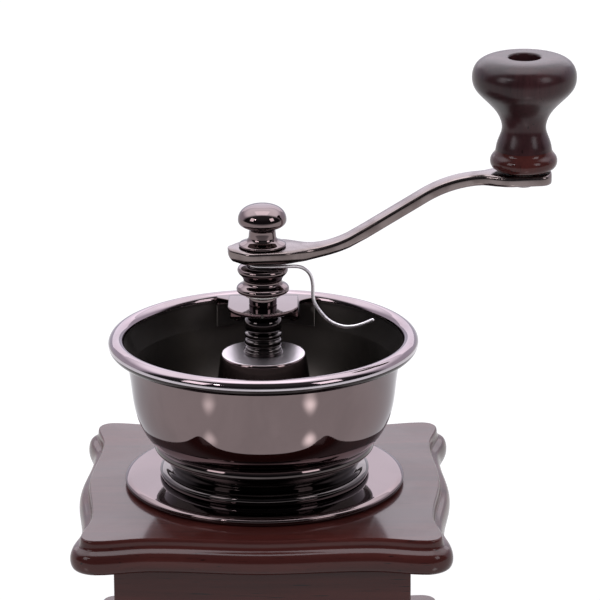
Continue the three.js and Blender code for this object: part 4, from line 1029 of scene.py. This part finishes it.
# Distance from the shaft, and half width
hub_plan = [
    [-hub_tip, 0.02], [-hub_tip, 2.5], [-6.5, 10], [8.8, 10], [13.5, 7.3], [18, 5.1],
    [24, 4.15], [31, bar_half], [40, bar_half],
]
bar_plan = np.column_stack([np.linspace(41, 82, 50), np.full(50, bar_half)])
pad_plan = [
    [83, bar_half], [86, 4.2], [89.5, 6.3], [94.5, 8.5], [109.3, 8.5], [112, 5], [112, 0.02],
]
plan = np.vstack([eased(hub_plan, 2.4, 7), bar_plan, eased(pad_plan, 2.2, 7)])
along, half_width = plan[:, 0], plan[:, 1]
rise_line = [[-20, hub_level], [27.0, hub_level], [73.4, pad_level], [120, pad_level]]
rise_line = eased(rise_line, 12.5, 60)
slope = np.gradient(rise_line[:, 1]) / np.maximum(np.gradient(rise_line[:, 0]), 1e-6)
arm_slope = np.interp(along, rise_line[:, 0], slope)
arm_middle = np.interp(along, rise_line[:, 0], rise_line[:, 1])
thickness = hub_thickness - (hub_thickness - bar_thickness) * smoothstep((along - 8) / 16)
arm_high = thickness / 2 * np.sqrt(1 + arm_slope**2)
section = rounded_section(half_width, arm_high, arm_edge, 8)

short_of_end = np.clip((along[:, None] + hub_tip) / hub_reach, 0, 1)
short_of_side = (half_width[:, None] - np.abs(section[..., 0])) / hub_reach + 0.15
near_hub = 1 - smoothstep((along[:, None] - 9) / 8)
rise = 1 - np.sqrt(1 - (1 - np.minimum(short_of_end, np.clip(short_of_side, 0, 1))) ** 2)
lower = np.clip(0.5 - section[..., 1] / (2 * arm_high[:, None]), 0, 1)
arm_grid = np.empty((*section.shape[:2], 3))
arm_grid[..., 0] = along[:, None]
arm_grid[..., 1:] = section
arm_grid[..., 2] += hub_draft * near_hub * rise * lower + arm_middle[:, None]
c, s = math.cos(crank_turn), math.sin(crank_turn)
arm = shell(arm_grid @ np.array([[c, s, 0], [-s, c, 0], [0, 0, 1]]))
piece("crank_arm", "gunmetal", forged_nickel, arm)

# %% [markdown]
# ## The stirrer wire and the spring
# Both are round wire along a path. The stirrer is an eye round the shaft, a swing
# outwards and a hook that drops among the beans; the spring is a helix with a
# closed turn at each end. A ring stands square to the path at every point; it is
# set out from the cross product of the path's direction and a reference direction
# that is never parallel to it, and shrinks round a half circle at each end.

# %% Wires
def wire(path, reference, radius, sides=20):
    """Rings of radius r(d) = radius sqrt(1 - (1 - d / radius)^2) near the ends."""
    step = np.linalg.norm(np.diff(path, axis=0), axis=1)
    length = np.concatenate([[0], np.cumsum(step)])
    nose = radius * (1 - np.cos(np.linspace(0.15, np.pi / 2, 6)))
    middle = length[(length > radius) & (length < length[-1] - radius)]
    places = np.concatenate([nose, middle, length[-1] - nose[::-1]])
    line, guide = (
        np.column_stack([np.interp(places, length, values[:, axis]) for axis in range(3)])
        for values in (path, reference)
    )
    along = unit(np.gradient(line, places, axis=0))
    across = unit(np.cross(along, guide))
    over = np.cross(along, across)
    reach = np.minimum(np.minimum(places, length[-1] - places) / radius, 1)
    reach = radius * np.sqrt(1 - (1 - reach) ** 2)
    angle = np.linspace(0, 2 * np.pi, sides, endpoint=False)[None, :, None]
    ring = np.cos(angle) * across[:, None] + np.sin(angle) * over[:, None]
    return shell(line[:, None] + reach[:, None, None] * ring)


stirrer_radius, wire_level, wire_eye, wire_reach, wire_drop = 0.7, 178.8, 5.75, 42.9, 26.1
eye_rows = 101
up, sideways = np.array([0, 0, 1.0]), np.array([0, 1.0, 0])
eye = around(wire_eye, np.radians(np.linspace(0, 270, 10)), 0)

# Shares of the reach outwards, of the eye's radius sideways, and of the drop
hook_shares = [
    [0.14, -0.95, 0], [0.25, -0.75, 0.01], [0.345, -0.5, 0.04], [0.425, -0.2, 0.17],
    [0.45, -0.05, 0.38], [0.455, 0, 0.58], [0.505, 0, 0.74], [0.6, 0, 0.91], [0.74, 0, 1],
    [0.88, 0, 0.97], [1, 0, 0.885],
]
hook = np.asarray(hook_shares) * [wire_reach, wire_eye, -wire_drop]
wire_path = flowing(np.vstack([eye, hook]) + wire_level * up, 12)
past_eye = smoothstep((wire_path[:, :1] - 3) / 9)
past_eye[:eye_rows] = 0
stirrer = wire(wire_path, (1 - past_eye) * up + past_eye * sideways, stirrer_radius)
# The wire's pale finish is a painted highlight.
piece("stirrer_wire", "gunmetal", painted_highlight_wire, stirrer)

spring_low, spring_long, spring_radius, spring_wire, spring_turns = 114.23, 24.95, 6.8, 1.4, 7
turn = np.linspace(0, spring_turns, 80 * spring_turns)
opened = np.clip(turn - 1, 0, spring_turns - 2)
closed_rise = spring_wire + 0.6
open_rise = (spring_long - spring_wire - 2 * closed_rise) / (spring_turns - 2)
spring_level = spring_low + spring_wire / 2 + (turn - opened) * closed_rise + opened * open_rise
spring_path = around(spring_radius, 2 * np.pi * turn, spring_level)
coils = wire(spring_path, np.tile(up, (len(turn), 1)), spring_wire / 2, 14)
spring = piece("burr_spring", "steel", steel, coils, rides=False)

# %% [markdown]
# ## The hand knob
# A mushroom of turned wood that spins on a riveted pin. The pin's head lies at the
# bottom of the hole in the top, and its tail is riveted under the pad. No palm rubs
# the ring at the knob's foot, which keeps its red and its gloss.

# %% Knob and pin
knob_axis, knob_radius, knob_low, knob_high = (100.677, 12.897), 20.27, 212.8, 256.9
knob_turns, side_steps, ring_rows = 160, 10, 45
pin_bore, hole_radius, hole_low = 3.25, 6.1, 244.9
knob_shares = [
    [0.545, 0.001], [0.598, 0.016], [0.638, 0.055], [0.619, 0.108], [0.553, 0.15],
    [0.522, 0.212], [0.463, 0.292], [0.42, 0.368], [0.463, 0.458], [0.573, 0.54],
    [0.779, 0.639], [0.94, 0.724], [0.992, 0.805], [0.97, 0.886], [0.88, 0.949],
    [0.72, 0.988], [0.55, 1.0],
]
knob_side = flowing(scaled(knob_shares, knob_radius, knob_high - knob_low, knob_low), side_steps)
knob_side[:, 1] = np.clip(knob_side[:, 1], knob_low, knob_high)
hole = [[hole_radius, knob_high - 0.02], [hole_radius, hole_low], [pin_bore, hole_low]]
knob_lip = eased([knob_side[-1], *hole], 1.1, 6)
knob = np.vstack([[[pin_bore, knob_low]], knob_side, knob_lip[1:]])
knob = piece("crank_knob", "dark_wood", knob_wood, turned(knob, knob_turns, knob_axis))
finish_rows(knob, knob_turns, (0, ring_rows, wood_upright))

pin = [
    [0.001, 205.6], [3.4, 205.65], [4.2, 206.1], [4.2, 206.8], [2.9, 206.8], [2.9, 245.2],
    [5.2, 245.2], [5.1, 246.3], [3.4, 246.95], [0.001, 247.0],
]
piece("knob_pin", "gunmetal", gunmetal, turned(eased(pin, 0.4, 4), turns=64, at=knob_axis))
knob_washer = flat_washer(pin_bore, 7.5, 211.9, 212.5, knob_axis)
piece("knob_washer", "steel", steel, knob_washer)

# %% [markdown]
# ## The drawer's knob
# A small turned knob on a flared foot, screwed to the drawer's front. It is turned
# like the others and then laid along -Y.

# %% Drawer knob
drawer_knob_radius, drawer_knob_low, drawer_knob_long = 8, 0.3, 15
drawer_knob_end, drawer_knob_level = drawer_knob_low + drawer_knob_long, 35.75
drawer_knob_shares = [
    [0.6, 0], [0.63, 0.03], [0.56, 0.1], [0.37, 0.22], [0.38, 0.36], [0.7, 0.5],
    [0.97, 0.68], [0.97, 0.85], [0.72, 0.965], [0.35, 0.995], [0.001, 1],
]
drawer_knob = scaled(drawer_knob_shares, drawer_knob_radius, drawer_knob_long, drawer_knob_low)
drawer_knob = np.vstack([[[0.001, drawer_knob_low]], flowing(drawer_knob, 9)])
drawer_knob[:, 1] = np.clip(drawer_knob[:, 1], drawer_knob_low, drawer_knob_end)
points, faces = turned(drawer_knob)
points = np.column_stack([points[:, 0], -half - points[:, 2], points[:, 1] + drawer_knob_level])
piece("drawer_knob", "gunmetal", gunmetal, (points, faces))

# %% [markdown]
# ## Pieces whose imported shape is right
# The shaft, the burrs and the plain fasteners are hidden or small, and their packed
# solids have their real shape. They stay, and only get their finishes.

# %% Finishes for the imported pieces
packed_finish = {name: steel for name in ("shaft", "burr_washer", "burr_nut", "drawer_knob_screw")}
for number in range(1, 5):
    packed_finish |= {f"hopper_nut_{number}": steel, f"base_screw_{number}": steel}
packed_finish |= {name: iron for name in ("burr_cone", "burr_ring", "burr_carrier")}
for name, finish in packed_finish.items():
    for material_slot in frame["nodes"][name].material_slots:
        material_slot.material = finish
print("finished", len(packed_finish), "packed pieces")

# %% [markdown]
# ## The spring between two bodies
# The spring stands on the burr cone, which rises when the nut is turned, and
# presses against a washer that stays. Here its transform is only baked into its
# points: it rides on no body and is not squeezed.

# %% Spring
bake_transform(spring)

# %% [markdown]
# ## A white studio
# Polished metal is only as good as what it mirrors. A product table is white, with
# a white sweep behind it, large soft lamps left and right of the camera, and a dark
# room behind the camera. The camera sees plain white; reflections see the sweep
# fade into the dark room; the object gets plain, even light. For reflections only,
# two pools of light are painted into the table's glow: long bright spots that point
# at the grinder, where a polished table would mirror the lamps. The table ends in
# the dark in front.

# %% Floor
floor_half, floor_grey, floor_white, floor_dark = 6.0, 0.42, 0.74, 0.1
dark_from, white_from, painted_pool_size = -1.3, -0.75, (0.03, 0.055, 1)
floor_mesh = bpy.data.meshes.new("studio_floor")
floor_corners = floor_half * np.array([(-1, -1, 0), (1, -1, 0), (1, 1, 0), (-1, 1, 0)])
floor_mesh.from_pydata(floor_corners.tolist(), [], [(0, 1, 2, 3)])
studio_floor = set_out("studio_floor", floor_mesh)


def mix_values(tree, share, first, second):
    """Two numbers or sockets mixed by a share."""
    return add_node(tree, "ShaderNodeMix", {0: share, 2: first, 3: second}).outputs[0]


floor_finish = bpy.data.materials.new("studio_white")
floor_finish.use_nodes = True
tree = floor_finish.node_tree
tree.nodes.clear()
rays = add_node(tree, "ShaderNodeLightPath").outputs
seen = calculate(tree, "MAXIMUM", rays["Is Camera Ray"], rays["Is Glossy Ray"])
seen = calculate(tree, "MAXIMUM", seen, rays["Is Transmission Ray"])
matt = add_node(tree, "ShaderNodeBsdfDiffuse", {"Color": (floor_grey, floor_grey, floor_grey, 1)})
place = add_node(tree, "ShaderNodeTexCoord").outputs["Object"]
from_front = add_node(tree, "ShaderNodeSeparateXYZ", {0: place}).outputs["Y"]
mirrored_floor = remap(tree, from_front, dark_from, white_from, floor_dark, floor_white)
# Painted pools of light, seen only by reflected rays.
for azimuth, reach, brightness in ((-45.5, 0.21, 1.7), (40.0, 0.205, 3.6)):
    turn = math.radians(azimuth)
    middle = (reach * math.sin(turn), -reach * math.cos(turn), 0)
    links = {"Vector": place, "Location": middle, "Rotation": (0, 0, turn), "Scale": painted_pool_size}
    spot = add_node(tree, "ShaderNodeMapping", links, vector_type="TEXTURE").outputs["Vector"]
    away = add_node(tree, "ShaderNodeVectorMath", {0: spot}, operation="LENGTH").outputs["Value"]
    painted_pool = remap(tree, away, 0.0, 1.0, brightness, 0.0)
    mirrored_floor = calculate(tree, "ADD", mirrored_floor, painted_pool)
strength = mix_values(tree, rays["Is Glossy Ray"], floor_white, mirrored_floor)
strength = calculate(tree, "MULTIPLY", seen, strength)
glow = add_node(tree, "ShaderNodeEmission", {"Color": (1, 1, 1, 1), "Strength": strength})
both = add_node(tree, "ShaderNodeAddShader", {0: matt.outputs[0], 1: glow.outputs[0]})
add_node(tree, "ShaderNodeOutputMaterial", {"Surface": both.outputs[0]})
floor_mesh.materials.append(floor_finish)
print("floor", floor_half * 2, "m across")

# %% [markdown]
# The world stands for the walls of the studio. For plain light it is an even grey.
# For reflections it is white behind the table, brighter overhead, and dark in front
# and low at the sides, from the direction of the mirrored ray alone.

# %% World
room_dark, wall_white, ceiling_white, even_grey = 0.03, 1.05, 3.0, 0.5
wall_tint, ceiling_tint = (0.97, 0.935, 1.075), (0.935, 0.945, 1.01)
behind, overhead, lean = (0.0, 0.32), (0.32, 0.75), 0.35
world = bpy.data.worlds.new("studio")
bpy.context.scene.world = world
world.use_nodes = True
tree = world.node_tree
tree.nodes.clear()
rays = add_node(tree, "ShaderNodeLightPath").outputs
glossy = calculate(tree, "MAXIMUM", rays["Is Glossy Ray"], rays["Is Transmission Ray"])
direction = add_node(tree, "ShaderNodeTexCoord").outputs["Generated"]
parts = add_node(tree, "ShaderNodeSeparateXYZ", {0: direction}).outputs
towards_back = calculate(tree, "ADD", parts["Y"], calculate(tree, "MULTIPLY", parts["Z"], lean))
walls = remap(tree, towards_back, *behind, room_dark, wall_white)
ceiling = remap(tree, parts["Z"], *overhead, 1.0, ceiling_white)
room = calculate(tree, "MULTIPLY", walls, ceiling)
mirrored = mix_values(tree, glossy, even_grey, room)
strength = mix_values(tree, rays["Is Camera Ray"], mirrored, 1.0)
tint = mix_colours(tree, remap(tree, parts["Z"], *overhead), wall_tint, ceiling_tint)
tint = mix_colours(tree, rays["Is Camera Ray"], tint, (1, 1, 1))
background = add_node(tree, "ShaderNodeBackground", {"Color": tint, "Strength": strength})
add_node(tree, "ShaderNodeOutputWorld", {"Surface": background.outputs[0]})
print("world", world.name)

# %% [markdown]
# A soft box is an area lamp; its brightness in a mirror is its power divided by pi
# and its area, so the power follows from the brightness that is wanted.

# %% Soft boxes
lamp_colour, grinder_middle = (1.0, 0.95, 1.0), (0, 0, 0.15)


def soft_box(name, azimuth, height, distance, wide, high, brightness):
    """An area lamp on a circle round the grinder, turned to face its middle; power =
    pi x area x brightness."""
    lamp = bpy.data.lights.new(name, "AREA")
    lamp.shape, lamp.size, lamp.size_y = "RECTANGLE", wide, high
    lamp.energy = math.pi * wide * high * brightness
    lamp.color = lamp_colour
    turn = math.radians(azimuth)
    place = np.array([distance * math.sin(turn), -distance * math.cos(turn), height])
    back = unit(place - grinder_middle)
    side = unit(np.cross([0, 0, 1], back) + [1e-6, 0, 0])
    set_out(name, lamp, side, np.cross(back, side), back, place).visible_camera = False
    print(name, "power", round(lamp.energy, 1), "W")


soft_box("left_box", -52, 1.25, 2.0, 0.7, 1.0, 3.6)
soft_box("right_box", 52, 1.25, 2.0, 0.7, 1.0, 3.6)
soft_box("rear_box", 180, 1.1, 2.2, 3.0, 0.9, 1.35)
soft_box("top_box", 180, 2.2, 0.25, 1.3, 1.3, 1.2)
soft_box("small_lamp", -36, 1.35, 1.7, 0.14, 0.14, 30.0)

# %% [markdown]
# The view transform stays Standard, so that white is white.

# %% Finish
bpy.context.scene.view_settings.view_transform = "Standard"
